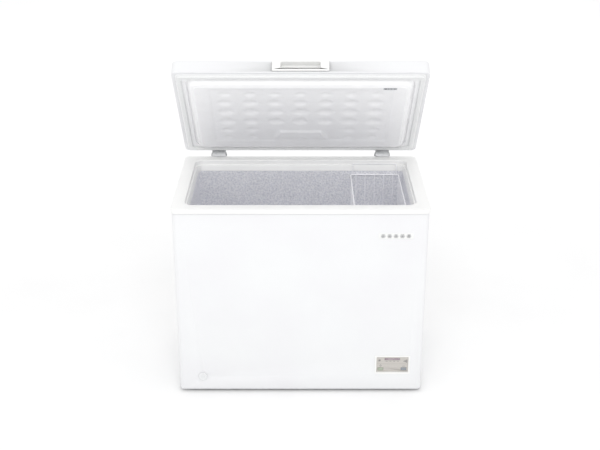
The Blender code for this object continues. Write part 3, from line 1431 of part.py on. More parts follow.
def main():
    panel_hole = make_control_panel()
    floor_hole, front_hole = make_drain()
    holes = SCREW_RADIUS + RUNNING_GAP
    deep = SCREW_LENGTH + 0.002
    housing_face = HALF_Y + GAP + HINGE_SHEET
    leaf_face = LID_HALF_Y + GAP + HINGE_SHEET
    places = list(housing_screw_places().values())
    housing_holes = cylinders_cutter(
        "housing_screw_holes", places, holes, housing_face - deep, housing_face + 0.005
    )
    places = list(leaf_screw_places().values())
    leaf_holes = cylinders_cutter(
        "leaf_screw_holes", places, holes, leaf_face - deep, leaf_face + 0.005, parent=LID
    )
    (low_x, high_x), (low_z, high_z) = cover_span()
    cover_opening = box("cover_opening", (low_x, HALF_Y - 0.01, low_z), (high_x, HALF_Y + 0.01, high_z))
    gland_hole = cylinders_cutter(
        "gland_hole", [gland_place()], GLAND_RADIUS, HALF_Y - 0.02, HALF_Y + 0.02, sides=16
    )

    make_outer_shell([panel_hole, front_hole])
    make_back_panel([cover_opening, housing_holes])
    make_base_tray()
    make_foam_body([housing_holes])
    make_inner_liner(floor_hole)
    make_top_frame()
    make_evaporator()
    make_condenser()
    make_feet()
    make_compressor_unit()
    make_rear_cover(gland_hole)
    make_cable_gland()
    make_badge()

    handle_opening = make_lid_handle()
    make_lid_skin([handle_opening, leaf_holes])
    make_lid_foam([handle_opening, leaf_holes])
    make_lid_liner()
    make_lid_gasket()
    make_star_label()

    make_hinges(housing_holes, leaf_holes)
    make_basket()


main()
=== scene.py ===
"""The looks of a chest freezer that stands with its lid half open: sheet steel, plastics, wire and metals.

Metres, +Z up, +X to the right of someone who stands in front, +Y to the back. The lid's pieces are modelled
with the lid closed and then turned up about the hinge pins.
"""

import json
from math import cos, exp, pi, radians, sin

import bmesh
import bpy
from mathutils import Matrix, Vector


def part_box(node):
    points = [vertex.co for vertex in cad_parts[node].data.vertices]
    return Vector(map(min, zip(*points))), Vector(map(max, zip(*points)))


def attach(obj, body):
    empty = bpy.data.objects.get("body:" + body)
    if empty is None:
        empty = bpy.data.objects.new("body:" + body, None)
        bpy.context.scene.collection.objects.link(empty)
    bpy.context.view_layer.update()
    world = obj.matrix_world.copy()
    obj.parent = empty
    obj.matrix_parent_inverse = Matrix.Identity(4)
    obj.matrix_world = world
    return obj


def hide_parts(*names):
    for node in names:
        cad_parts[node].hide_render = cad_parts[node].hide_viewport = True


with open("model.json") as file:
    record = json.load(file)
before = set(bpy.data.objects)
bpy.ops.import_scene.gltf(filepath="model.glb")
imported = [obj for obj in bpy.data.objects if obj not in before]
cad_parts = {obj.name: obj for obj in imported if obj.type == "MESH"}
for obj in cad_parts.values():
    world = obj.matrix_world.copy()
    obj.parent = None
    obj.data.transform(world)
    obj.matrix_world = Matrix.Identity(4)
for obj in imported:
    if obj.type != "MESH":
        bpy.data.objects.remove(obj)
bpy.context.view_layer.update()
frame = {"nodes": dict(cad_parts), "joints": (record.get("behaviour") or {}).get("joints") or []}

# ---------------------------------------------------------------- places read from the frame

NODES = frame["nodes"]
SHELL_LOW, SHELL_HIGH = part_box("outer_shell")
FRAME_LOW, FRAME_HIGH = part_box("top_frame")
PIN_LOW, PIN_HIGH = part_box("hinge_pin_left")
MIDDLE_Y = (SHELL_LOW.y + SHELL_HIGH.y) / 2
FRONT = SHELL_LOW.y
BACK = SHELL_HIGH.y
RIM = FRAME_HIGH.z
HALF_TOP_X = (FRAME_HIGH.x - FRAME_LOW.x) / 2
HALF_TOP_Y = (FRAME_HIGH.y - FRAME_LOW.y) / 2
LID_JOINT = next(joint for joint in frame["joints"] if joint["child"] == "lid")
OPEN_ANGLE = -radians(LID_JOINT["range_deg"][0])
PIN = Vector((0, (PIN_LOW.y + PIN_HIGH.y) / 2, (PIN_LOW.z + PIN_HIGH.z) / 2))
RAISE_LID = Matrix.Translation(PIN) @ Matrix.Rotation(-OPEN_ANGLE, 4, "X") @ Matrix.Translation(-PIN)


def closed_box(node):
    """A lid node's corners with the lid shut."""
    lower = RAISE_LID.inverted()
    points = [lower @ vert.co for vert in NODES[node].data.vertices]
    low = Vector([min(point[i] for point in points) for i in range(3)])
    high = Vector([max(point[i] for point in points) for i in range(3)])
    return low, high


LID_LOW, LID_HIGH = closed_box("lid_skin")
LID_HALF_X = (LID_HIGH.x - LID_LOW.x) / 2
LID_HALF_Y = (LID_HIGH.y - LID_LOW.y) / 2


# ---------------------------------------------------------------- materials


def linear(code):
    """An sRGB hex colour as linear values with alpha 1."""
    channels = [int(code[i : i + 2], 16) / 255 for i in (1, 3, 5)]
    return (*[c / 12.92 if c <= 0.04045 else ((c + 0.055) / 1.055) ** 2.4 for c in channels], 1)


def add(tree, kind, settings=None, **sockets):
    """Adds a node with its properties and its sockets: values, or outputs to link, with _ for a space."""
    node = tree.nodes.new(kind)
    for key, value in (settings or {}).items():
        setattr(node, key, value)
    for key, value in sockets.items():
        socket = node.inputs[int(key[1:])] if key[1:].isdigit() else node.inputs[key.replace("_", " ")]
        if isinstance(value, bpy.types.NodeSocket):
            tree.links.new(value, socket)
        else:
            socket.default_value = value
    return node


def new_material(name, colour, roughness, metallic=0.0, **values):
    """A principled material, with its tree, its shader and its Object coordinates."""
    made = bpy.data.materials.new(name)
    made.use_nodes = True
    tree = made.node_tree
    shader = tree.nodes["Principled BSDF"]
    shader.inputs["Base Color"].default_value = linear(colour)
    shader.inputs["Roughness"].default_value = roughness
    shader.inputs["Metallic"].default_value = metallic
    for key, value in values.items():
        shader.inputs[key.replace("_", " ")].default_value = value
    coordinates = add(tree, "ShaderNodeTexCoord").outputs["Object"]
    return made, tree, shader, coordinates


def vary_colour(tree, shader, factor, low, high, reach=(0.35, 0.65)):
    """Colour between two tints, by a factor."""
    ramp = add(tree, "ShaderNodeValToRGB", Fac=factor)
    for stop, place, tint in zip(ramp.color_ramp.elements, reach, (low, high)):
        stop.position = place
        stop.color = linear(tint)
    tree.links.new(ramp.outputs["Color"], shader.inputs["Base Color"])


def vary_roughness(tree, shader, factor, low, high):
    span = add(tree, "ShaderNodeMapRange", Value=factor, From_Min=0.3, From_Max=0.7, To_Min=low, To_Max=high)
    tree.links.new(span.outputs["Result"], shader.inputs["Roughness"])


def raise_surface(tree, shader, height, depth, strength=1.0):
    """Bump of a real depth in metres."""
    bump = add(tree, "ShaderNodeBump", Strength=strength, Distance=depth, Height=height)
    tree.links.new(bump.outputs["Normal"], shader.inputs["Normal"])


def per_metre(millimetres):
    """A texture's scale for features of this size."""
    return 1000 / millimetres


def noise(tree, place, millimetres, detail=2.0):
    """Noise whose features are about this size."""
    texture = add(tree, "ShaderNodeTexNoise", Vector=place, Scale=per_metre(millimetres), Detail=detail)
    return texture.outputs["Fac"]


def painted_steel():
    """Coil-coated white steel: smooth, with a faint orange peel that softens reflections."""
    made, tree, shader, place = new_material("white_coil_coated_steel", "#ECEDED", 0.34, IOR=1.5)
    peel = noise(tree, place, 6)
    cloud = noise(tree, place, 260, 3.0)
    vary_colour(tree, shader, cloud, "#EBEBED", "#EDEEEF")
    vary_roughness(tree, shader, cloud, 0.30, 0.38)
    raise_surface(tree, shader, peel, 0.00003)
    return made


def moulded_abs():
    """White ABS from a finely etched mould: satin, with a tight grain."""
    made, tree, shader, place = new_material("white_moulded_abs", "#F4F4F3", 0.42, IOR=1.54)
    grain = noise(tree, place, 1.6)
    cloud = noise(tree, place, 180)
    vary_colour(tree, shader, cloud, "#F2F2F1", "#F5F5F4")
    vary_roughness(tree, shader, cloud, 0.38, 0.46)
    raise_surface(tree, shader, grain, 0.00003)
    return made


def formed_polystyrene():
    """Vacuum-formed polystyrene: glossier than ABS, with a slow ripple from the forming."""
    made, tree, shader, place = new_material("white_formed_polystyrene", "#FBFBFC", 0.30, IOR=1.59)
    ripple = noise(tree, place, 34)
    vary_colour(tree, shader, ripple, "#FAFAFB", "#FCFCFD")
    vary_roughness(tree, shader, ripple, 0.29, 0.33)
    raise_surface(tree, shader, ripple, 0.00001)
    return made


def gasket_vinyl():
    """Soft white PVC: matt and a little greyer than the parts round it, with a dull sheen."""
    made, tree, shader, place = new_material(
        "white_gasket_vinyl", "#EDEEEE", 0.55, IOR=1.53, Sheen_Weight=0.1, Sheen_Roughness=0.5
    )
    grain = noise(tree, place, 3, 3.0)
    vary_colour(tree, shader, grain, "#E9EAEA", "#EFF0F0")
    raise_surface(tree, shader, grain, 0.00005)
    return made


def stucco_aluminium():
    """Stucco-embossed aluminium sheet: rolled irregular pillows and a fine grit that break up reflections."""
    made, tree, shader, place = new_material("stucco_embossed_aluminium", "#F8F9FB", 0.5, 0.45)
    warp = add(tree, "ShaderNodeTexNoise", Vector=place, Scale=per_metre(14), Detail=2.0)
    bent = add(
        tree,
        "ShaderNodeVectorMath",
        {"operation": "MULTIPLY_ADD"},
        _0=warp.outputs["Color"],
        _1=(0.006, 0.006, 0.006),
        _2=place,
    )
    cells = add(
        tree,
        "ShaderNodeTexVoronoi",
        {"feature": "SMOOTH_F1"},
        Vector=bent.outputs["Vector"],
        Scale=per_metre(7.5),
        Smoothness=0.6,
    ).outputs["Distance"]
    grit = noise(tree, place, 7, 4.0)
    vary_colour(tree, shader, grit, "#E0E1E8", "#FDFDFF", (0.3, 0.65))
    vary_roughness(tree, shader, cells, 0.36, 0.56)
    raise_surface(tree, shader, cells, 0.0014)
    return made


def coated_wire():
    """Polyethylene-coated wire: white, waxy and rounded by the dip."""
    made, tree, shader, place = new_material("white_dipped_polyethylene", "#F6F6FA", 0.36, IOR=1.51)
    runs = noise(tree, place, 9)
    vary_colour(tree, shader, runs, "#F3F3F8", "#FAFAFC")
    vary_roughness(tree, shader, runs, 0.30, 0.44)
    raise_surface(tree, shader, runs, 0.0002)
    return made


def galvanised_steel():
    """Zinc-plated steel: grey, with the pale and dark grains of the spangle."""
    made, tree, shader, place = new_material("zinc_plated_steel", "#C8C9CA", 0.53, 1.0)
    spangle = add(tree, "ShaderNodeTexVoronoi", Vector=place, Scale=per_metre(9)).outputs["Color"]
    grain = add(tree, "ShaderNodeSeparateColor", Color=spangle).outputs["Red"]
    scratch = noise(tree, place, 2, 4.0)
    vary_colour(tree, shader, grain, "#BFC0C2", "#D2D3D4", (0.0, 1.0))
    vary_roughness(tree, shader, grain, 0.46, 0.60)
    raise_surface(tree, shader, scratch, 0.00003)
    return made


def spring_steel():
    """Oiled spring steel: darker and smoother than the zinc round it."""
    made, tree, shader, place = new_material("oiled_spring_steel", "#8E8F92", 0.30, 1.0)
    film = noise(tree, place, 12, 3.0)
    vary_colour(tree, shader, film, "#7F8083", "#989A9C")
    vary_roughness(tree, shader, film, 0.24, 0.40)
    return made


def black_enamel():
    """Stoved black enamel on the compressor: glossy, with orange peel and a little dust."""
    made, tree, shader, place = new_material("stoved_black_enamel", "#17181A", 0.25, IOR=1.5, Coat_Weight=0.4)
    peel = noise(tree, place, 5)
    dust = noise(tree, place, 40, 6.0)
    vary_colour(tree, shader, dust, "#141517", "#26272A")
    vary_roughness(tree, shader, dust, 0.20, 0.40)
    raise_surface(tree, shader, peel, 0.00008)
    return made


def black_rubber():
    """Moulded black rubber: matt and grey at the edges."""
    made, tree, shader, place = new_material("moulded_black_rubber", "#232324", 0.75, IOR=1.52)
    bloom = noise(tree, place, 8, 5.0)
    vary_colour(tree, shader, bloom, "#1E1E1F", "#2E2E30")
    raise_surface(tree, shader, bloom, 0.0001)
    return made


def dark_plastic():
    """Dark grey polypropylene: soft sheen and a coarse spark-eroded grain."""
    made, tree, shader, place = new_material("dark_grey_polypropylene", "#4A4B4E", 0.52, IOR=1.49)
    grain = noise(tree, place, 1.2)
    vary_colour(tree, shader, grain, "#454649", "#505154")
    raise_surface(tree, shader, grain, 0.00006)
    return made


def light_grey_plastic():
    """Light grey ABS on the drain cap: satin."""
    made, tree, shader, place = new_material("light_grey_moulded_abs", "#E7E8E9", 0.45, IOR=1.54)
    grain = noise(tree, place, 1.4)
    vary_colour(tree, shader, grain, "#E4E5E6", "#EAEBEC")
    raise_surface(tree, shader, grain, 0.00004)
    return made


def copper():
    """Drawn copper tube: warm, with brown patches where it has oxidised."""
    made, tree, shader, place = new_material("drawn_copper", "#D08A63", 0.28, 1.0)
    patch = noise(tree, place, 25, 5.0)
    vary_colour(tree, shader, patch, "#A8663F", "#DB9A74")
    vary_roughness(tree, shader, patch, 0.22, 0.42)
    return made


def aluminium_tube():
    """Drawn aluminium tube: pale and dull."""
    made, tree, shader, place = new_material("drawn_aluminium", "#CDCED1", 0.40, 1.0)
    film = noise(tree, place, 18, 3.0)
    vary_colour(tree, shader, film, "#C2C3C7", "#D6D7D9")
    return made


def rigid_foam():
    """Rigid polyurethane foam: cream, matt and finely pitted."""
    made, tree, shader, place = new_material("cream_rigid_polyurethane", "#E9DFBF", 0.9, IOR=1.45)
    pits = add(tree, "ShaderNodeTexVoronoi", Vector=place, Scale=per_metre(3)).outputs["Distance"]
    vary_colour(tree, shader, pits, "#E2D6B2", "#EEE6CB", (0.1, 0.6))
    raise_surface(tree, shader, pits, 0.0006)
    return made


def brushed_aluminium(name, colours, roughness):
    """Brushed aluminium: fine level lines that draw each highlight out sideways."""
    made, tree, shader, place = new_material(name, colours[1], roughness, 1.0)
    along = add(tree, "ShaderNodeMapping", Vector=place, Scale=(per_metre(60), per_metre(1), per_metre(0.7)))
    texture = add(tree, "ShaderNodeTexNoise", Vector=along.outputs["Vector"], Scale=1.0, Detail=3.0)
    lines = texture.outputs["Fac"]
    vary_colour(tree, shader, lines, *colours)
    vary_roughness(tree, shader, lines, roughness - 0.06, roughness + 0.08)
    raise_surface(tree, shader, lines, 0.00004)
    return made


def satin_plastic(name, low, high, roughness):
    """A coloured moulded plastic for a small part: satin, with a fine grain."""
    made, tree, shader, place = new_material(name, high, roughness, IOR=1.5)
    grain = noise(tree, place, 1.2)
    vary_colour(tree, shader, grain, low, high)
    raise_surface(tree, shader, grain, 0.00003)
    return made


def smoked_acrylic():
    """Smoked acrylic over the lamps: a greyed pink, glossy under a thin clear coat."""
    made, tree, shader, place = new_material(
        "smoked_pink_acrylic", "#A99CA2", 0.12, IOR=1.49, Coat_Weight=0.5
    )
    depth = noise(tree, place, 10)
    vary_colour(tree, shader, depth, "#9E9097", "#B4A8AD")
    return made


def circuit_board():
    """Green solder mask over glass laminate."""
    made, tree, shader, place = new_material("green_solder_mask", "#1B5A34", 0.35, IOR=1.5)
    weave = noise(tree, place, 2)
    vary_colour(tree, shader, weave, "#174E2D", "#20683D")
    return made


def screen_ink(name, low, high):
    """Screen-printed ink: flat and slightly uneven."""
    made, tree, shader, place = new_material(name, high, 0.5, IOR=1.5)
    cover = noise(tree, place, 2.5, 3.0)
    vary_colour(tree, shader, cover, low, high)
    return made


STEEL = painted_steel()
ABS = moulded_abs()
POLYSTYRENE = formed_polystyrene()
VINYL = gasket_vinyl()
STUCCO = stucco_aluminium()
WIRE = coated_wire()
ZINC = galvanised_steel()
SPRING = spring_steel()
ENAMEL = black_enamel()
RUBBER = black_rubber()
DARK = dark_plastic()
GREY = light_grey_plastic()
COPPER = copper()
TUBE = aluminium_tube()
FOAM = rigid_foam()
PLATE = brushed_aluminium("brushed_champagne_aluminium", ("#C3BFBA", "#D7D3CE"), 0.34)
BADGE_METAL = brushed_aluminium("brushed_natural_aluminium", ("#7F8084", "#97989C"), 0.40)
GREEN_BUTTON = satin_plastic("sage_button_abs", "#A4AC9C", "#AEB6A6", 0.4)
GREY_BUTTON = satin_plastic("slate_button_abs", "#8D939A", "#989EA4", 0.4)
LENS = smoked_acrylic()
BOARD = circuit_board()
DARK_INK = screen_ink("charcoal_screen_ink", "#55565A", "#626367")
PALE_INK = screen_ink("grey_screen_ink", "#B9BBBF", "#C4C6C9")


# ---------------------------------------------------------------- building pieces

EDGE_TURNS = (0.4, 0.8, 1.2, pi / 2)  # angles of the points on a rounded edge


def finish(name, bm, material, body, replaced=(), on_lid=False, sharp=32, recalculate=True):
    """Turns a bmesh into a finished piece that rides on a body."""
    if recalculate:
        bmesh.ops.recalc_face_normals(bm, faces=bm.faces)
    if on_lid:
        placed_by(bm, RAISE_LID)
    mesh = bpy.data.meshes.new(name)
    bm.to_mesh(mesh)
    bm.free()
    mesh.materials.append(material)
    mesh.shade_smooth()
    mesh.set_sharp_from_angle(angle=radians(sharp))
    piece = bpy.data.objects.new(name, mesh)
    bpy.context.scene.collection.objects.link(piece)
    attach(piece, body)
    if replaced:
        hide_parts(*replaced)
    return piece


def rounded_loop(bm, half_x, half_y, radius, height, steps):
    """A rounded rectangle of vertices and edges about the cabinet's middle."""
    loop = []
    for quarter, (side_x, side_y) in enumerate(((1, 1), (-1, 1), (-1, -1), (1, -1))):
        for step in range(steps + 1):
            angle = (quarter + step / steps) * pi / 2
            x = side_x * (half_x - radius) + radius * cos(angle)
            y = side_y * (half_y - radius) + radius * sin(angle)
            loop.append(bm.verts.new((x, y, height)))
    return loop


def edges_of(loop):
    pairs = zip(loop, loop[1:] + loop[:1])
    return [next(e for e in one.link_edges if e.other_vert(one) is other) for one, other in pairs]


def extrude_through(bm, sections, steps=10):
    """Extrudes a rounded rectangle through (half_x, half_y, radius, height) sections: first and last loop."""
    first = rounded_loop(bm, *sections[0], steps)
    for one, other in zip(first, first[1:] + first[:1]):
        bm.edges.new((one, other))
    loop = first
    for section in sections[1:]:
        made = bmesh.ops.extrude_edge_only(bm, edges=edges_of(loop))["geom"]
        fresh = {item for item in made if isinstance(item, bmesh.types.BMVert)}
        nexts = [next(e.other_vert(v) for e in v.link_edges if e.other_vert(v) in fresh) for v in loop]
        guide = bmesh.new()
        for vert, target in zip(nexts, rounded_loop(guide, *section, steps)):
            vert.co = target.co
        guide.free()
        loop = nexts
    return first, loop


def soften(corners, steps=4):
    """Rounds each inner corner of a section path whose points end in their rounding reach."""
    path = [corners[0][:-1]]
    for before, corner, after in zip(corners, corners[1:], corners[2:]):
        here = Vector(corner[:-1])
        legs = []
        for other in (before, after):
            leg = Vector(other[:-1]) - here
            legs.append(here + leg * min(corner[-1] / max(leg.length, 1e-9), 0.45))
        if corner[-1] == 0:
            path.append(tuple(here))
            continue
        for step in range(steps + 1):
            t = step / steps
            path.append(tuple(legs[0] * (1 - t) ** 2 + here * 2 * t * (1 - t) + legs[1] * t**2))
    path.append(corners[-1][:-1])
    return path


def section_path(half_x, half_y, corners):
    """Sections from (inset_x, inset_y, corner radius, height, rounding reach) corners."""
    return [(half_x - inset_x, half_y - inset_y, r, z) for inset_x, inset_y, r, z in soften(corners)]


def shift_to_middle(bm):
    bmesh.ops.translate(bm, vec=(0, MIDDLE_Y, 0), verts=bm.verts)


def block(low, high, rounding=0.0, segments=3):
    """A box between two corners, with its edges rounded."""
    low, high = Vector(low), Vector(high)
    bm = bmesh.new()
    bmesh.ops.create_cube(bm, size=1.0)
    bmesh.ops.scale(bm, vec=high - low, verts=bm.verts)
    bmesh.ops.translate(bm, vec=(low + high) / 2, verts=bm.verts)
    if rounding:
        bevel_edges(bm, bm.edges[:], rounding, segments)
    return bm


def bevel_edges(bm, edges, width, segments=3):
    bmesh.ops.bevel(
        bm,
        geom=edges,
        offset=width,
        offset_type="OFFSET",
        affect="EDGES",
        segments=segments,
        profile=0.5,
        material=-1,
        clamp_overlap=True,
    )


def edges_along(bm, axis, longer_than):
    """Edges that run along an axis (0, 1 or 2) for more than a length."""
    return [e for e in bm.edges if abs((e.verts[0].co - e.verts[1].co)[axis]) > longer_than]


def turned(profile, steps=48):
    """A closed turned shape about Z, from (radius, height) points on and off the axis."""
    bm = bmesh.new()
    verts = [bm.verts.new((radius, 0, height)) for radius, height in profile]
    edges = [bm.edges.new(pair) for pair in zip(verts, verts[1:])]
    bmesh.ops.spin(
        bm, geom=verts + edges, cent=(0, 0, 0), axis=(0, 0, 1), angle=2 * pi, steps=steps, use_merge=True
    )
    bmesh.ops.remove_doubles(bm, verts=bm.verts, dist=1e-6)
    bmesh.ops.recalc_face_normals(bm, faces=bm.faces)
    return bm


def rod(radius, half_length):
    """A round cutter along Z."""
    return turned([(0, half_length), (radius, half_length), (radius, -half_length), (0, -half_length)], 32)


def placed_by(bm, matrix):
    """Moves a bmesh by a matrix."""
    bmesh.ops.transform(bm, matrix=matrix, verts=bm.verts)
    return bm


def placed(bm, location, turn=None):
    """Turns a bmesh and moves it to its place."""
    matrix = Matrix.Translation(location)
    if turn:
        matrix = matrix @ Matrix.Rotation(turn[0], 4, turn[1])
    return placed_by(bm, matrix)


def centre(node):
    low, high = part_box(node)
    return (low + high) / 2


def carve(piece, cutter_mesh):
    """Cuts a bmesh out of a piece and leaves the result in its mesh."""
    mesh = bpy.data.meshes.new("cutter")
    bmesh.ops.recalc_face_normals(cutter_mesh, faces=cutter_mesh.faces)
    cutter_mesh.to_mesh(mesh)
    cutter_mesh.free()
    cutter = bpy.data.objects.new("cutter", mesh)
    bpy.context.scene.collection.objects.link(cutter)
    cut = piece.modifiers.new("cut", "BOOLEAN")
    cut.object = cutter
    bake_modifiers(piece)
    bpy.data.objects.remove(cutter, do_unlink=True)
    bpy.data.meshes.remove(mesh)


def bake_modifiers(piece):
    bpy.context.view_layer.update()
    graph = bpy.context.evaluated_depsgraph_get()
    mesh = bpy.data.meshes.new_from_object(piece.evaluated_get(graph))
    piece.modifiers.clear()
    piece.data = mesh


def thicken(piece, thickness, offset=-1.0):
    wall = piece.modifiers.new("wall", "SOLIDIFY")
    wall.thickness = thickness
    wall.offset = offset
    wall.use_even_offset = True


def refined(node, material, body, width=0.0004):
    """A CAD node's shape with its small facets merged and its edges rounded, so that they catch the light."""
    bm = bmesh.new()
    bm.from_mesh(NODES[node].data)
    bmesh.ops.remove_doubles(bm, verts=bm.verts, dist=1e-6)
    bmesh.ops.dissolve_limit(bm, angle_limit=radians(1), verts=bm.verts, edges=bm.edges)
    piece = finish(node + "_finished", bm, material, body, (node,))
    rounding = piece.modifiers.new("edges", "BEVEL")
    rounding.width = width
    rounding.segments = 2
    rounding.limit_method = "ANGLE"
    rounding.angle_limit = radians(30)
    rounding.harden_normals = True
    return piece


def merge_in(bm, other):
    """Adds one bmesh to another and frees it."""
    mesh = bpy.data.meshes.new("part")
    other.to_mesh(mesh)
    other.free()
    bm.from_mesh(mesh)
    bpy.data.meshes.remove(mesh)


# ---------------------------------------------------------------- cabinet


def make_wrap():
    """The bent sheet round the cabinet: sides, front and the two rear returns."""
    corner, sheet, back_half = 0.016, 0.001, 0.44225
    bm = block((SHELL_LOW.x, FRONT, SHELL_LOW.z), (SHELL_HIGH.x, BACK, SHELL_HIGH.z))
    bevel_edges(bm, edges_along(bm, 2, 0.1), corner, 10)
    for x in (-back_half, back_half):
        geom = bm.verts[:] + bm.edges[:] + bm.faces[:]
        bmesh.ops.bisect_plane(bm, geom=geom, plane_co=(x, 0, 0), plane_no=(1, 0, 0))
    rear = [f for f in bm.faces if f.normal.y > 0.9 and abs(f.calc_center_median().x) < back_half]
    level = [f for f in bm.faces if abs(f.normal.z) > 0.9]
    bmesh.ops.delete(bm, geom=rear + level, context="FACES")
    wrap = finish("cabinet_wrap", bm, STEEL, "cabinet", ("outer_shell",))
    thicken(wrap, sheet)
    low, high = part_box("control_bezel")
    border = 0.0042
    window = block(
        (low.x + border, FRONT - 0.02, low.z + border), (high.x - border, FRONT + 0.02, high.z - border)
    )
    carve(wrap, window)
    cap = centre("drain_cap")
    hole = rod(0.0086, 0.02)
    carve(wrap, placed(hole, (cap.x, FRONT, cap.z), (pi / 2, "X")))
    soft = wrap.modifiers.new("edges", "BEVEL")
    soft.width = 0.0003
    soft.segments = 2
    soft.limit_method = "ANGLE"


def make_top_frame():
    """The moulded frame: outer lip, flat rim, round inner edge, basket ledge and tapering throat."""
    lip, wall, side, end = 0.0165, 0.0025, 0.047, 0.046
    ledge, drop, step, taper = 0.018, 0.042, 0.005, 0.011
    outer, throat = 0.018, 0.034
    corners = [
        (0, 0, outer, RIM - lip, 0.0006),
        (0, 0, outer, RIM, 0.0035),
        (side, end, throat, RIM, 0.0050),
        (side, end, throat, RIM - ledge, 0.0015),
        (side + step, end + step, throat - 0.002, RIM - ledge - 0.0005, 0.0015),
        (side + taper, end + taper, 0.018, RIM - drop, 0.0006),
        (side + taper - wall, end + taper - wall, 0.0205, RIM - drop, 0.0006),
        (side - wall, end - wall, throat + wall, RIM - ledge - wall, 0.0006),
        (side - wall, end - wall, throat + wall, RIM - wall, 0.001),
        (wall, wall, outer - wall, RIM - wall, 0.001),
        (wall, wall, outer - wall, RIM - lip, 0.0006),
    ]
    start = (wall / 2, wall / 2, outer - wall / 2, RIM - lip, 0)
    bm = bmesh.new()
    extrude_through(bm, section_path(HALF_TOP_X, HALF_TOP_Y, [start] + corners + [start]), 12)
    bmesh.ops.remove_doubles(bm, verts=bm.verts, dist=1e-6)
    shift_to_middle(bm)
    finish("rim_moulding", bm, ABS, "cabinet", ("top_frame",))


def make_tub():
    """The embossed aluminium tub with its step over the compressor."""
    sheet = 0.0008
    low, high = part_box("inner_liner")
    step_low = step_edge()
    bm = block((low.x + sheet, low.y + sheet, low.z + sheet), (high.x - sheet, high.y - sheet, high.z))
    bevel_edges(bm, edges_along(bm, 2, 0.1), 0.018, 10)
    tub = finish("tub_sheet", bm, STUCCO, "cabinet", ("inner_liner",), sharp=50)
    carve(tub, block((step_low.x, low.y - 0.1, low.z - 0.1), (high.x + 0.1, high.y + 0.1, step_low.z)))
    bm = bmesh.new()
    bm.from_mesh(tub.data)
    bmesh.ops.remove_doubles(bm, verts=bm.verts, dist=1e-5)
    bmesh.ops.dissolve_limit(bm, angle_limit=radians(1), verts=bm.verts, edges=bm.edges)
    lid_faces = [f for f in bm.faces if f.normal.z > 0.9 and f.calc_center_median().z > high.z - 0.01]
    bmesh.ops.delete(bm, geom=lid_faces, context="FACES")
    bends = [e for e in bm.edges if len(e.link_faces) == 2 and e.calc_face_angle() > radians(60)]
    bevel_edges(bm, bends, 0.007, 5)
    bmesh.ops.reverse_faces(bm, faces=bm.faces)
    bm.to_mesh(tub.data)
    bm.free()
    tub.data.shade_smooth()
    thicken(tub, sheet)
    plug = centre("drain_plug")
    hole = rod(0.0065, 0.03)
    carve(tub, placed(hole, (plug.x, plug.y, low.z)))
    tub.data.set_sharp_from_angle(angle=radians(50))


def step_edge():
    """The foot of the step's riser and the height of its top, from the liner's own vertices."""
    low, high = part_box("inner_liner")
    points = [v.co for v in NODES["inner_liner"].data.vertices]
    floor_points = [p for p in points if p.z < low.z + 0.002]
    step_x = max(p.x for p in floor_points)
    heights = sorted(p.z for p in points if p.x > high.x - 0.05)
    return Vector((step_x - 0.0008, 0, heights[0] + 0.0008))


def make_back_panel():
    """The flat rear sheet with softened edges."""
    refined("back_panel", STEEL, "cabinet", 0.0003)


def make_feet():
    for node in ("foot_front_left", "foot_front_right", "foot_rear_left", "foot_rear_right"):
        low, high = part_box(node)
        place = (low + high) / 2
        radius, top = (high.x - low.x) / 2, high.z
        edge, dish = 0.0028, 0.0008
        profile = [(0, top), (radius * 0.78, top), (radius * 0.8, top - 0.0006), (radius * 0.985, top * 0.6)]
        profile += [(radius, top * 0.55), (radius, edge)]
        profile += [(radius - edge + edge * cos(a), edge - edge * sin(a)) for a in EDGE_TURNS]
        profile += [(radius * 0.6, 0), (radius * 0.56, dish)]
        profile += [(radius * 0.3, dish), (radius * 0.27, 0), (0, 0)]
        bm = placed(turned(profile, 48), (place.x, place.y, 0))
        finish(node + "_moulding", bm, DARK, "cabinet", (node,))


make_wrap()
make_top_frame()
make_tub()
make_back_panel()
make_feet()


# ---------------------------------------------------------------- lid

RECESS_CORNER = 0.006
RECESS_ROOM = 0.0036


def lid_path(corners):
    return section_path(LID_HALF_X, LID_HALF_Y, corners)


def make_lid_pan():
    """The painted pan: flat top, round shoulder, upright side and a hem turned in underneath."""
    bottom, top, hem, sheet = LID_LOW.z, LID_HIGH.z, 0.012, 0.001
    corners = [
        (hem, hem, 0.014, bottom + sheet, 0),
        (hem, hem, 0.014, bottom, 0.0004),
        (0, 0, 0.020, bottom, 0.0016),
        (0, 0, 0.020, top, 0.0110),
        (0.020, 0.020, 0.012, top, 0),
    ]
    bm = bmesh.new()
    steps = soften(corners, 7)
    sections = [(LID_HALF_X - x, LID_HALF_Y - y, r, z) for x, y, r, z in steps]
    _, last = extrude_through(bm, sections, 12)
    bmesh.ops.contextual_create(bm, geom=edges_of(last))
    shift_to_middle(bm)
    pan = finish("lid_pan", bm, STEEL, "lid", ("lid_skin",), on_lid=True)
    thicken(pan, sheet)
    carve(pan, handle_opening())


def handle_recess_box():
    """The finger recess with the lid shut: 146 x 32 mm, its floor 26 mm behind the plate's face."""
    face = closed_box("lid_handle")[0].y
    half, height, lift, depth = 0.073, 0.032, 0.010, 0.026
    base = LID_LOW.z + lift
    return Vector((-half, face, base)), Vector((half, face + depth, base + height))


def handle_opening():
    """The hole that the handle's recess needs in the lid, with the lid raised."""
    low, high = handle_recess_box()
    front = LID_LOW.y - 0.02
    opening = block(
        (low.x - RECESS_ROOM, front, low.z - RECESS_ROOM),
        (high.x + RECESS_ROOM, high.y + RECESS_ROOM, high.z + RECESS_ROOM),
    )
    return placed_by(opening, RAISE_LID)


def smooth_step(value, low, high):
    t = min(max((value - low) / (high - low), 0.0), 1.0)
    return t * t * (3 - 2 * t)


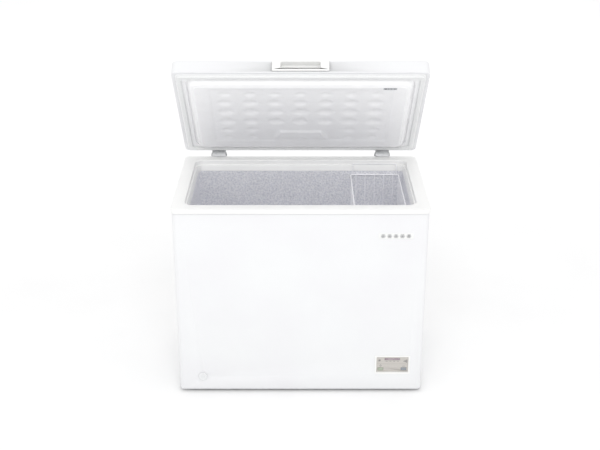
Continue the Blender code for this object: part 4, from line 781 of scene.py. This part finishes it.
DIMPLE_ROWS = [
    # distance from the lid's hinge edge, half width, half depth front to back, height
    (0.444, 0.021, 0.014, 0.0042),
    (0.386, 0.027, 0.018, 0.0052),
    (0.323, 0.031, 0.021, 0.0060),
    (0.254, 0.031, 0.021, 0.0060),
    (0.191, 0.024, 0.016, 0.0046),
    (0.138, 0.017, 0.011, 0.0032),
]
DIMPLE_PITCH = 0.095
FULL_COLUMNS = (-3, -2, -1, 0, 1, 2, 3)
OUTER_COLUMNS = (-3, -2, 2, 3)
FIELD = {"half_x": 0.345, "back": 0.108, "front": 0.482, "depth": 0.0022, "slope": 0.010}
PLATFORM = {
    "back": 0.112,
    "front": 0.190,
    "half_back": 0.120,
    "half_front": 0.085,
    "depth": 0.0045,
    "slope": 0.012,
}


def panel_height(x, s):
    """How far the formed panel rises into the lid at x and at s from the hinge edge."""
    field = smooth_step(FIELD["half_x"] - abs(x), 0, FIELD["slope"])
    field *= smooth_step(s, FIELD["back"], FIELD["back"] + FIELD["slope"])
    field *= smooth_step(FIELD["front"] - s, 0, FIELD["slope"])
    height = FIELD["depth"] * field
    for row, (place, half_x, half_s, depth) in enumerate(DIMPLE_ROWS):
        if abs(s - place) > half_s * 1.4:
            continue
        for column in FULL_COLUMNS if row < 4 else OUTER_COLUMNS:
            reach = ((x - column * DIMPLE_PITCH) / half_x) ** 2 + ((s - place) / half_s) ** 2
            height += depth * exp(-1.6 * reach**1.5)
    along = (s - PLATFORM["back"]) / (PLATFORM["front"] - PLATFORM["back"])
    half = PLATFORM["half_back"] + (PLATFORM["half_front"] - PLATFORM["half_back"]) * min(max(along, 0), 1)
    raised = smooth_step(half - abs(x), 0, PLATFORM["slope"])
    raised *= smooth_step(s, PLATFORM["back"], PLATFORM["back"] + 3 * PLATFORM["slope"])
    raised *= smooth_step(PLATFORM["front"] - s, 0, PLATFORM["slope"])
    return height - PLATFORM["depth"] * raised


def make_lid_panel():
    """The vacuum-formed inner panel: flange, groove, plug wall and the dimpled face."""
    bottom, plug_drop, groove, rim = LID_LOW.z, 0.020, 0.006, 0.0123
    side, end, slope, cell = 0.0535, 0.0440, 0.020, 0.0055
    face = bottom - plug_drop
    shelf = 0.014
    corners = [
        (rim, rim, 0.015, bottom + 0.0015, 0),
        (rim, rim, 0.015, bottom, 0.0005),
        (side - groove, end - groove, 0.034, bottom, 0.0014),
        (side - groove * 0.85, end - groove * 0.85, 0.034, bottom + groove, 0.0014),
        (side - groove * 0.15, end - groove * 0.15, 0.034, bottom + groove, 0.0014),
        (side, end, 0.034, bottom + 0.001, 0.0014),
        (side + slope * 0.55, end + slope * 0.55, 0.028, face + 0.0025, 0.0040),
        (side + slope, end + slope, 0.024, face + 0.0018, 0.0020),
        (side + slope + 0.0025, end + slope + 0.0025, 0.022, face, 0.0012),
        (side + slope + shelf, end + slope + shelf, 0.020, face, 0),
    ]
    bm = bmesh.new()
    _, last = extrude_through(bm, lid_path(corners), 12)
    inner = bmesh.ops.contextual_create(bm, geom=edges_of(last))["faces"]
    for axis, half in ((0, LID_HALF_X), (1, LID_HALF_Y)):
        count = int(half / cell)
        for number in range(-count, count + 1):
            place, normal = [0.0, 0.0, 0.0], [0.0, 0.0, 0.0]
            place[axis], normal[axis] = number * cell, 1.0
            level = [f for f in bm.faces if abs(f.normal.z) > 0.99]
            inner = [f for f in level if abs(f.calc_center_median().z - face) < 1e-4]
            around = {e for f in inner for e in f.edges}
            geom = list({v for e in around for v in e.verts}) + list(around) + inner
            bmesh.ops.bisect_plane(bm, geom=geom, plane_co=place, plane_no=normal, dist=1e-5)
    for vert in bm.verts:
        inside = abs(vert.co.x) < LID_HALF_X - side - slope - 0.003
        inside = inside and abs(vert.co.y) < LID_HALF_Y - end - slope - 0.003
        if inside and abs(vert.co.z - face) < 1e-4:
            vert.co.z += panel_height(vert.co.x, LID_HALF_Y - vert.co.y)
    bmesh.ops.recalc_face_normals(bm, faces=bm.faces)
    middle = min(bm.faces, key=lambda f: (f.calc_center_median() - Vector((0, 0, face))).length)
    if middle.normal.z > 0:
        bmesh.ops.reverse_faces(bm, faces=bm.faces)
    shift_to_middle(bm)
    panel = finish(
        "lid_panel", bm, POLYSTYRENE, "lid", ("lid_liner",), True, 40, recalculate=False
    )
    thicken(panel, 0.0012)


def make_lid_foam():
    """The foam behind the panel, clear of the dimples."""
    bottom, top, edge, clear = LID_LOW.z + 0.009, LID_HIGH.z - 0.0018, 0.0015, 0.010
    inset_x, inset_y = 0.0535 + clear, 0.0440 + clear
    corners = [
        (inset_x + 0.012, inset_y + 0.012, 0.020, LID_LOW.z - 0.010, 0),
        (inset_x, inset_y, 0.030, bottom - 0.004, 0.001),
        (inset_x, inset_y, 0.030, bottom, 0.001),
        (edge, edge, 0.018, bottom, 0.001),
        (edge, edge, 0.018, top - 0.010, 0.001),
        (0.012, 0.012, 0.016, top, 0),
    ]
    bm = bmesh.new()
    for loop in extrude_through(bm, lid_path(corners), 8):
        bmesh.ops.contextual_create(bm, geom=edges_of(loop))
    shift_to_middle(bm)
    foam = finish("lid_foam_core", bm, FOAM, "lid", ("lid_foam",), on_lid=True)
    carve(foam, handle_opening())


def make_gasket():
    """The magnetic seal: a foot pressed into the lid, a soft bellows and the flat magnet pocket."""
    low, high = closed_box("lid_gasket")
    inset = low.x + LID_HALF_X
    width, height = 0.019, high.z - low.z
    waist = 0.0032
    outer, inner = 0.012, 0.014
    corners = [
        (inset, inset, outer, high.z, 0.0008),
        (inset, inset, outer, high.z - height * 0.20, 0.0010),
        (inset + waist, inset + waist, outer, high.z - height * 0.36, 0.0012),
        (inset + waist * 0.6, inset + waist * 0.6, outer, high.z - height * 0.58, 0.0010),
        (inset + waist * 0.9, inset + waist * 0.9, outer, low.z, 0.0012),
        (inset + width - waist * 0.9, inset + width - waist * 0.9, inner, low.z, 0.0012),
        (inset + width - waist * 0.6, inset + width - waist * 0.6, inner, high.z - height * 0.58, 0.0010),
        (inset + width - waist, inset + width - waist, inner, high.z - height * 0.36, 0.0012),
        (inset + width, inset + width, inner, high.z - height * 0.20, 0.0010),
        (inset + width, inset + width, inner, high.z, 0.0008),
    ]
    start = (inset + width / 2, inset + width / 2, outer, high.z, 0)
    bm = bmesh.new()
    extrude_through(bm, lid_path([start] + corners + [start]), 10)
    bmesh.ops.remove_doubles(bm, verts=bm.verts, dist=1e-6)
    shift_to_middle(bm)
    finish("door_seal", bm, VINYL, "lid", ("lid_gasket",), on_lid=True)


def make_handle():
    """The handle moulding: a plate with soft edges and a finger recess with a rolled lip."""
    low, high = closed_box("lid_handle")
    face_back = LID_LOW.y - 0.0003
    recess_low, recess_high = handle_recess_box()
    wall = 0.0028
    bm = block((low.x, low.y, low.z), (high.x, face_back, high.z), 0.0048, 5)
    handle = finish("handle_moulding", bm, ABS, "lid", ("lid_handle",), sharp=40)
    pocket = block(
        (recess_low.x - wall, low.y + 0.006, recess_low.z - wall),
        (recess_high.x + wall, recess_high.y + wall, recess_high.z + wall),
    )
    bevel_edges(pocket, edges_along(pocket, 1, 0.01), RECESS_CORNER, 6)
    join(handle, pocket)
    hollow = block(
        (recess_low.x, low.y - 0.01, recess_low.z), (recess_high.x, recess_high.y, recess_high.z)
    )
    bevel_edges(hollow, edges_along(hollow, 1, 0.01), RECESS_CORNER, 6)
    carve(handle, hollow)
    bm = bmesh.new()
    bm.from_mesh(handle.data)
    bmesh.ops.remove_doubles(bm, verts=bm.verts, dist=1e-6)
    bmesh.ops.dissolve_limit(bm, angle_limit=radians(0.5), verts=bm.verts, edges=bm.edges)
    mouth = [
        e
        for e in bm.edges
        if len(e.link_faces) == 2
        and e.calc_face_angle() > radians(60)
        and all(abs(v.co.y - low.y) < 1e-5 for v in e.verts)
    ]
    bevel_edges(bm, mouth, 0.0018, 4)
    placed_by(bm, RAISE_LID)
    bm.to_mesh(handle.data)
    bm.free()
    handle.data.shade_smooth()
    handle.data.set_sharp_from_angle(angle=radians(40))


def join(piece, other_mesh):
    """Unites a bmesh with a piece."""
    mesh = bpy.data.meshes.new("joined")
    bmesh.ops.recalc_face_normals(other_mesh, faces=other_mesh.faces)
    other_mesh.to_mesh(mesh)
    other_mesh.free()
    other = bpy.data.objects.new("joined", mesh)
    bpy.context.scene.collection.objects.link(other)
    union = piece.modifiers.new("join", "BOOLEAN")
    union.operation = "UNION"
    union.object = other
    bake_modifiers(piece)
    bpy.data.objects.remove(other, do_unlink=True)
    bpy.data.meshes.remove(mesh)


def star_outline(bm, x, y, z, radius):
    """A five-pointed star with a little thickness, facing down."""
    verts = []
    for i in range(10):
        reach = radius if i % 2 == 0 else radius * 0.45
        angle = pi / 2 + i * pi / 5
        verts.append(bm.verts.new((x + reach * cos(angle), y - reach * sin(angle), z)))
    outline = [bm.edges.new(pair) for pair in zip(verts, verts[1:] + verts[:1])]
    faces = bmesh.ops.triangle_fill(bm, edges=outline, use_beauty=True)["geom"]
    flat = [item for item in faces if isinstance(item, bmesh.types.BMFace)]
    raised = bmesh.ops.extrude_face_region(bm, geom=flat)["geom"]
    moved = [item for item in raised if isinstance(item, bmesh.types.BMVert)]
    bmesh.ops.translate(bm, vec=(0, 0, -0.0002), verts=moved)


def make_star_label():
    """The freezing-class label: three stars and one more, on a clear film."""
    low, high = closed_box("star_label")
    middle = (low + high) / 2
    film = block(low, high, 0.0001, 2)
    finish("star_film", film, PALE_INK, "lid", ("star_label",), on_lid=True)
    stars = bmesh.new()
    for number, offset in enumerate((-0.0165, -0.0065, 0.0035, 0.0165)):
        star_outline(stars, middle.x + offset, middle.y, low.z - 0.00005, 0.0052 if number == 0 else 0.0042)
    finish("star_print", stars, DARK_INK, "lid", on_lid=True)


make_lid_pan()
make_lid_panel()
make_lid_foam()
make_gasket()
make_handle()
make_star_label()


# ---------------------------------------------------------------- hinges


def make_hinges():
    for side in ("left", "right"):
        refined("hinge_housing_" + side, ZINC, "cabinet", 0.0005)
        refined("hinge_leaf_" + side, ZINC, "lid", 0.0004)


def screw_head(node, axis_turn, place, on_lid):
    """A pan head with its shank."""
    radius, head, shank = 0.0045, 0.0022, 0.0020
    profile = [(0, head)]
    profile += [(radius * sin(a), head * (0.35 + 0.65 * cos(a))) for a in EDGE_TURNS]
    profile += [(radius, 0), (shank, 0), (shank, -0.012), (0, -0.012)]
    bm = turned(profile, 24)
    placed(bm, place, axis_turn)
    body = "lid" if on_lid else "cabinet"
    finish(node + "_pan_head", bm, ZINC, body, (node,), on_lid)


def make_screws():
    for side in ("left", "right"):
        for number in (1, 2):
            node = f"housing_screw_{side}_{number}"
            low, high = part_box(node)
            place = Vector(((low.x + high.x) / 2, high.y - 0.0022, (low.z + high.z) / 2))
            screw_head(node, (-pi / 2, "X"), place, False)
            node = f"leaf_screw_{side}_{number}"
            low, high = closed_box(node)
            place = Vector(((low.x + high.x) / 2, high.y - 0.0022, (low.z + high.z) / 2))
            screw_head(node, (-pi / 2, "X"), place, True)


make_hinges()
make_screws()


# ---------------------------------------------------------------- basket


def rounded_path(points, radius, steps=5):
    """A polyline with each inner corner rounded."""
    path = [Vector(points[0])]
    for before, corner, after in zip(points, points[1:], points[2:]):
        corner = Vector(corner)
        legs = []
        for other in (before, after):
            leg = Vector(other) - corner
            legs.append(corner + leg.normalized() * min(radius, leg.length * 0.48))
        for step in range(steps + 1):
            t = step / steps
            path.append(legs[0] * (1 - t) ** 2 + corner * 2 * t * (1 - t) + legs[1] * t**2)
    path.append(Vector(points[-1]))
    return path


def add_wire(curve, points, thickness, closed=False):
    """One wire in a curve whose bevel is 1 mm: each point's radius is the wire's."""
    spline = curve.splines.new("POLY")
    spline.points.add(len(points) - 1)
    for point, place in zip(spline.points, points):
        point.co = (*place, 1)
        point.radius = thickness / 2 / 0.001
    spline.use_cyclic_u = closed


def make_basket():
    """The wire basket: a thick top frame, U-shaped wires both ways, a lower frame and a hook at each end."""
    low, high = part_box("basket")
    thin, thick, bend = 0.0034, 0.0050, 0.012
    left, right = low.x + thick / 2, high.x - thick / 2
    top = RIM - 0.054 - thick / 2
    base = low.z + thin * 1.5
    half_y = 0.215 - thick / 2
    pitch = 0.0376
    curve = bpy.data.curves.new("basket_wires", "CURVE")
    curve.dimensions = "3D"
    curve.bevel_depth = 0.001
    curve.bevel_resolution = 3
    curve.use_fill_caps = True
    front, back = MIDDLE_Y - half_y, MIDDLE_Y + half_y
    corners = [(left, front), (right, front), (right, back), (left, back)]
    ring = []
    for i, (x, y) in enumerate(corners):
        before, after = corners[i - 1], corners[(i + 1) % 4]
        ring += [(p.x, p.y) for p in rounded_path([(*before, 0), (x, y, 0), (*after, 0)], bend)[1:-1]]
    add_wire(curve, [(x, y, top) for x, y in ring], thick, True)
    inner_left, inner_right = left + thin * 0.6, right - thin * 0.6
    inner_front, inner_back = front + thin * 0.6, back - thin * 0.6
    for number in range(-2, 3):
        x = (left + right) / 2 + number * pitch
        path = [(x, inner_front, top), (x, inner_front, base), (x, inner_back, base), (x, inner_back, top)]
        add_wire(curve, rounded_path(path, bend), thin)
    for number in range(-5, 6):
        y = MIDDLE_Y + number * pitch
        floor = base - thin
        path = [(inner_left, y, top), (inner_left, y, floor), (inner_right, y, floor), (inner_right, y, top)]
        add_wire(curve, rounded_path(path, bend), thin)
    lift = low.z + 0.045
    add_wire(curve, [(x, y, lift) for x, y in ring], thin, True)
    hook_top = high.z - thin / 2
    leg = 0.009
    for sign in (-1, 1):
        y = MIDDLE_Y + sign * (half_y - thin * 0.2)
        out = MIDDLE_Y + sign * ((high.y - low.y) / 2 - thin / 2 - 0.0006)
        path = [
            (left + leg, y, top - 0.010),
            (left + leg, y, hook_top),
            (left + leg, out, hook_top),
            (right - leg, out, hook_top),
            (right - leg, y, hook_top),
            (right - leg, y, top - 0.010),
        ]
        add_wire(curve, rounded_path(path, 0.006), thin)
    curve.materials.append(WIRE)
    wires = bpy.data.objects.new("basket_wires", curve)
    bpy.context.scene.collection.objects.link(wires)
    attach(wires, "basket")
    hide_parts("basket")


make_basket()


# ---------------------------------------------------------------- front fittings


def upright_frame(low, high, border, radius, front, rise, steps=6):
    """A picture frame that faces the front: an outer and an inner rounded rectangle with soft edges."""
    half_x, half_z = (high.x - low.x) / 2, (high.z - low.z) / 2
    inner = max(radius - border * 0.5, 0.0025)
    corners = [
        (border, border, inner, -0.016, 0),
        (border, border, inner, rise, 0.0009),
        (0, 0, radius, rise, 0.0014),
        (0, 0, radius, 0.0003, 0.0002),
        (border - 0.0025, border - 0.0025, inner + 0.001, 0.0003, 0.0002),
        (border - 0.0025, border - 0.0025, inner + 0.001, -0.016, 0),
        (border, border, inner, -0.016, 0),
    ]
    bm = bmesh.new()
    extrude_through(bm, section_path(half_x, half_z, corners), steps)
    bmesh.ops.remove_doubles(bm, verts=bm.verts, dist=1e-6)
    middle = (low + high) / 2
    placed(bm, (middle.x, front, middle.z), (pi / 2, "X"))
    return bm


def make_control_panel():
    """The bezel, the brushed plate, the lens and two buttons."""
    low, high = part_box("control_bezel")
    bm = upright_frame(low, high, 0.0065, 0.0050, FRONT, FRONT - low.y)
    finish("panel_bezel", bm, ABS, "cabinet", ("control_bezel",))
    refined("control_plate", PLATE, "cabinet", 0.0003)
    low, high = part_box("indicator_lens")
    finish("lamp_lens", block(low, high, 0.0011, 4), LENS, "cabinet", ("indicator_lens",))
    buttons = (("left", GREEN_BUTTON, "button_green"), ("right", GREY_BUTTON, "button_grey"))
    for side, material, slot in buttons:
        node = "button_" + side
        low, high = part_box(node)
        bm = block(low, high, 0.0022, 5)
        button = finish(node + "_cap", bm, material, node, (node,))
        dish = turned([(0, 0.004), (0.0042, 0.004), (0.0040, 0.0), (0.0, -0.0006)], 32)
        carve(button, placed(dish, ((low.x + high.x) / 2, low.y, (low.z + high.z) / 2), (pi / 2, "X")))
        button.data.set_sharp_from_angle(angle=radians(35))


def flat_bar(bm, centre_x, centre_z, width, height, front, depth=0.0002, turn=0.0):
    """A thin printed bar that faces the front."""
    bar = block((-width / 2, -depth, -height / 2), (width / 2, 0, height / 2))
    placed(bar, (0, 0, 0), (turn, "Y"))
    placed(bar, (centre_x, front, centre_z))
    merge_in(bm, bar)


def snowflake(bm, x, z, reach, front, thickness, depth=0.0002):
    """Three crossed bars with small barbs."""
    for arm in range(3):
        flat_bar(bm, x, z, 2 * reach, thickness, front, depth, arm * pi / 3)
    for arm in range(6):
        angle = arm * pi / 3
        tip_x, tip_z = x + 0.62 * reach * cos(angle), z + 0.62 * reach * sin(angle)
        for sign in (-1, 1):
            lean = angle + sign * pi / 4
            barb_x, barb_z = tip_x + 0.16 * reach * cos(lean), tip_z + 0.16 * reach * sin(lean)
            flat_bar(bm, barb_x, barb_z, 0.40 * reach, thickness * 0.8, front, depth, -lean)


def make_panel_print():
    """Generic marks: a snowflake and a row of lamp dashes, a power ring and a scale of bars."""
    low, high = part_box("control_plate")
    front = low.y - 0.00005
    bm = bmesh.new()
    snowflake(bm, low.x + 0.012, high.z - 0.018, 0.0050, front, 0.0009)
    lens_low, lens_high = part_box("indicator_lens")
    for number in range(4):
        x = lens_low.x + (lens_high.x - lens_low.x) * (number + 0.5) / 4
        flat_bar(bm, x, lens_low.z - 0.0045, 0.0070, 0.0012, front)
    for number in range(4):
        flat_bar(bm, high.x - 0.016 + number * 0.0035, high.z - 0.022, 0.0018, 0.004 + 0.003 * number, front)
    button_low, button_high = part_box("button_left")
    middle = (button_low.x + button_high.x) / 2
    inner, outer, half = 0.0030, 0.0038, 0.0001
    ring = turned([(inner, half), (outer, half), (outer, -half), (inner, -half), (inner, half)], 32)
    placed(ring, (middle, front, button_high.z + 0.0085), (pi / 2, "X"))
    merge_in(bm, ring)
    flat_bar(bm, middle, button_high.z + 0.0115, 0.0009, 0.0045, front)
    flat_bar(bm, high.x - 0.0165, button_high.z + 0.006, 0.012, 0.0011, front)
    finish("panel_print", bm, DARK_INK, "cabinet")


def make_badge():
    """A plain white badge plate with a row of raised snowflakes."""
    low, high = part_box("badge")
    bm = block(low, high)
    bevel_edges(bm, edges_along(bm, 1, 0.0005), 0.006, 8)
    rim = [e for e in bm.edges if all(abs(v.co.y - low.y) < 1e-6 for v in e.verts)]
    bevel_edges(bm, rim, 0.0005, 3)
    finish("badge_plate", bm, ABS, "cabinet", ("badge",))
    marks = bmesh.new()
    middle = (low + high) / 2
    for number in range(-2, 3):
        snowflake(marks, middle.x + number * 0.0235, middle.z, 0.0086, low.y + 0.0001, 0.0014, 0.0006)
    finish("badge_marks", marks, BADGE_METAL, "cabinet")


def make_drain():
    """The drain cap with its coin slot, and the stopper in the tub's floor."""
    low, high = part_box("drain_cap")
    place = Vector(((low.x + high.x) / 2, FRONT, (low.z + high.z) / 2))
    radius, proud = (high.x - low.x) / 2, FRONT - low.y
    edge = 0.0026
    profile = [(0, proud - 0.0012), (radius * 0.62, proud - 0.0012), (radius * 0.66, proud - 0.0002)]
    profile += [(radius * 0.69, proud), (radius - edge, proud)]
    profile += [(radius - edge + edge * sin(a), proud - edge + edge * cos(a)) for a in EDGE_TURNS]
    profile += [(radius, 0.0003), (0.0055, 0.0003), (0.0050, -0.014), (0, -0.014)]
    bm = placed(turned(profile, 64), place, (pi / 2, "X"))
    cap = finish("drain_cap_moulding", bm, GREY, "drain_cap", ("drain_cap",))
    slot = block(
        (place.x - radius * 0.42, low.y - 0.002, place.z - 0.0011),
        (place.x + radius * 0.42, low.y + 0.0030, place.z + 0.0011),
    )
    carve(cap, slot)
    cap.data.set_sharp_from_angle(angle=radians(32))
    low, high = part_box("drain_plug")
    place = (low + high) / 2
    floor, radius = high.z - 0.004, (high.x - low.x) / 2
    profile = [(0, 0.0022), (0.003, 0.0024), (0.004, 0.0040), (0.0056, 0.0040), (0.0066, 0.0026)]
    profile += [(radius - 0.002, 0.0022), (radius - 0.0006, 0.0016), (radius, 0.0003), (0.0055, 0.0003)]
    profile += [(0.0058, -0.004), (0.0054, -0.005), (0.0058, -0.009), (0.0048, -0.014), (0, -0.014)]
    bm = placed(turned(profile, 48), (place.x, place.y, floor))
    finish("drain_stopper", bm, RUBBER, "drain_plug", ("drain_plug",))


make_control_panel()
make_panel_print()
make_badge()
make_drain()


# ---------------------------------------------------------------- cooling unit and rear cover


def make_rear_cover():
    """The louvred cover: a thin plate with a hooded slot for each louvre."""
    low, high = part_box("rear_cover")
    refined("rear_cover", ABS, "cabinet", 0.0004)
    hood_width, pitch, height = (high.x - low.x) - 0.040, 0.022, 0.007
    top = high.z - 0.027
    bm = bmesh.new()
    for number in range(8):
        z = top - number * pitch
        if z - height < low.z + 0.043:
            break
        hood = block(
            (low.x + 0.020, high.y - 0.0004, z - 0.0005),
            (low.x + 0.020 + hood_width, high.y + 0.0045, z + 0.0012),
        )
        outer = [e for e in hood.edges if all(v.co.y > high.y + 0.004 for v in e.verts)]
        lower = [v for v in hood.verts if v.co.y > high.y + 0.004]
        bmesh.ops.translate(hood, vec=(0, 0, -0.0042), verts=lower)
        bevel_edges(hood, outer, 0.0004, 2)
        merge_in(bm, hood)
    finish("louvre_hoods", bm, ABS, "cabinet")
    heads = bmesh.new()
    for x in (low.x + 0.0045, high.x - 0.0045):
        for z in (low.z + 0.0045, high.z - 0.0045):
            profile = [(0, 0.0012), (0.0018, 0.0011), (0.0026, 0.0006), (0.0029, 0), (0, 0)]
            merge_in(heads, placed(turned(profile, 20), (x, high.y, z), (-pi / 2, "X")))
    finish("cover_screw_heads", heads, ZINC, "cabinet")


def make_gland():
    low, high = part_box("cable_gland")
    place = Vector(((low.x + high.x) / 2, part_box("rear_cover")[1].y + 0.0003, (low.z + high.z) / 2))
    bore, body, collar = 0.0042, 0.0085, 0.0130
    profile = [(bore, 0.010), (body - 0.0030, 0.010), (body - 0.0022, 0.0092), (body - 0.001, 0.0062)]
    profile += [(collar - 0.001, 0.0036), (collar, 0.0026), (collar, 0), (body, 0), (body, -0.010)]
    profile += [(bore, -0.010), (bore, 0.010)]
    bm = placed(turned(profile, 48), place, (-pi / 2, "X"))
    finish("gland_moulding", bm, RUBBER, "cabinet", ("cable_gland",))


def make_compressor():
    """The welded steel dome with its seam."""
    low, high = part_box("compressor")
    place = (low + high) / 2
    height, flange = high.z - low.z, 0.0035
    radius = (high.x - low.x) / 2 - flange
    seam = height * 0.46
    turns = [i * pi / 24 for i in range(1, 13)]
    profile = [(0, height)]
    profile += [(radius * sin(a), height * 0.72 + height * 0.28 * cos(a)) for a in turns]
    rim = radius + flange
    profile += [(radius, seam + flange + 0.001), (rim - 0.0008, seam + flange)]
    profile += [(rim, seam + flange / 2), (rim - 0.0008, seam), (radius, seam - 0.001)]
    profile += [(radius * sin(a), height * 0.22 - height * 0.22 * cos(a)) for a in turns[::-1]]
    profile.append((0, 0))
    bm = placed(turned(profile, 56), (place.x, place.y, low.z))
    finish("compressor_dome", bm, ENAMEL, "cabinet", ("compressor",))


make_rear_cover()
make_gland()
make_compressor()
refined("terminal_cover", DARK, "cabinet", 0.0006)
refined("compressor_plate", ENAMEL, "cabinet", 0.0005)
refined("compressor_rail", ZINC, "cabinet", 0.0004)
refined("base_tray", ZINC, "cabinet", 0.0004)


# ---------------------------------------------------------------- finishes on the nodes that stay

KEPT_FINISHES = {
    "foam_body": FOAM,
    "evaporator_coil": TUBE,
    "condenser_coil": COPPER,
    "suction_pipe": COPPER,
    "discharge_pipe": COPPER,
    "filter_drier": COPPER,
    "control_board": BOARD,
    "drain_tube": ABS,
    "hinge_pin_left": SPRING,
    "hinge_pin_right": SPRING,
    "hinge_spring_left": SPRING,
    "hinge_spring_right": SPRING,
    "hinge_slider_left": DARK,
    "hinge_slider_right": DARK,
    "compressor_mount_1": RUBBER,
    "compressor_mount_2": RUBBER,
    "compressor_mount_3": RUBBER,
    "compressor_mount_4": RUBBER,
}
for node_name, kept_material in KEPT_FINISHES.items():
    slots = NODES[node_name].data.materials
    slots.clear()
    slots.append(kept_material)


# ---------------------------------------------------------------- floor, light and camera


def make_floor():
    made, tree, shader, place = new_material("pale_studio_floor", "#FAFAFA", 0.9)
    grain = add(tree, "ShaderNodeTexNoise", Vector=place, Scale=2.0, Detail=2.0).outputs["Fac"]
    vary_colour(tree, shader, grain, "#F9F9F9", "#FBFBFB")
    shader.inputs["Specular IOR Level"].default_value = 0.0
    bm = bmesh.new()
    bmesh.ops.create_grid(bm, x_segments=1, y_segments=1, size=30)
    mesh = bpy.data.meshes.new("studio_floor")
    bm.to_mesh(mesh)
    bm.free()
    mesh.materials.append(made)
    floor = bpy.data.objects.new("studio_floor", mesh)
    bpy.context.scene.collection.objects.link(floor)


def area_light(name, location, target, size, energy):
    data = bpy.data.lights.new(name, "AREA")
    data.shape = "RECTANGLE"
    data.size, data.size_y = size
    data.energy = energy
    lamp = bpy.data.objects.new(name, data)
    lamp.location = location
    direction = Vector(target) - Vector(location)
    lamp.rotation_euler = direction.to_track_quat("-Z", "Y").to_euler()
    bpy.context.scene.collection.objects.link(lamp)


def make_light():
    """An even white surround, a soft light high in front, weak fills and a lamp over the floor behind."""
    world = bpy.data.worlds.new("studio")
    world.use_nodes = True
    world.node_tree.nodes["Background"].inputs["Color"].default_value = (1, 1, 1, 1)
    world.node_tree.nodes["Background"].inputs["Strength"].default_value = 0.87
    bpy.context.scene.world = world
    for side in (-1, 1):
        area_light("side_softbox", (side * 2.6, -2.2, 3.7), (0, 0, 0.7), (2.4, 2.4), 12)
    area_light("low_softbox", (0, -5.2, 1.3), (0, 0, 0.8), (3.2, 1.6), 8)
    area_light("high_softbox", (0, -3.4, 4.0), (0, 0, 0.7), (2.4, 1.6), 38)
    area_light("backdrop_softbox", (0, 5.0, 3.0), (0, 5.0, 0), (9.0, 4.5), 60)


def make_camera():
    data = bpy.data.cameras.new("camera")
    data.lens = 60.6
    data.sensor_width = 36
    data.shift_x = -0.001
    data.shift_y = -0.048
    data.dof.use_dof = False
    camera = bpy.data.objects.new("camera", data)
    distance, rise, tilt = 3.613, 1.460, 67.15
    camera.location = (0, MIDDLE_Y - distance, RIM + rise)
    camera.rotation_euler = (radians(tilt), 0, 0)
    bpy.context.scene.collection.objects.link(camera)
    bpy.context.scene.camera = camera


make_floor()
make_light()
make_camera()
bpy.context.scene.view_settings.view_transform = "Standard"
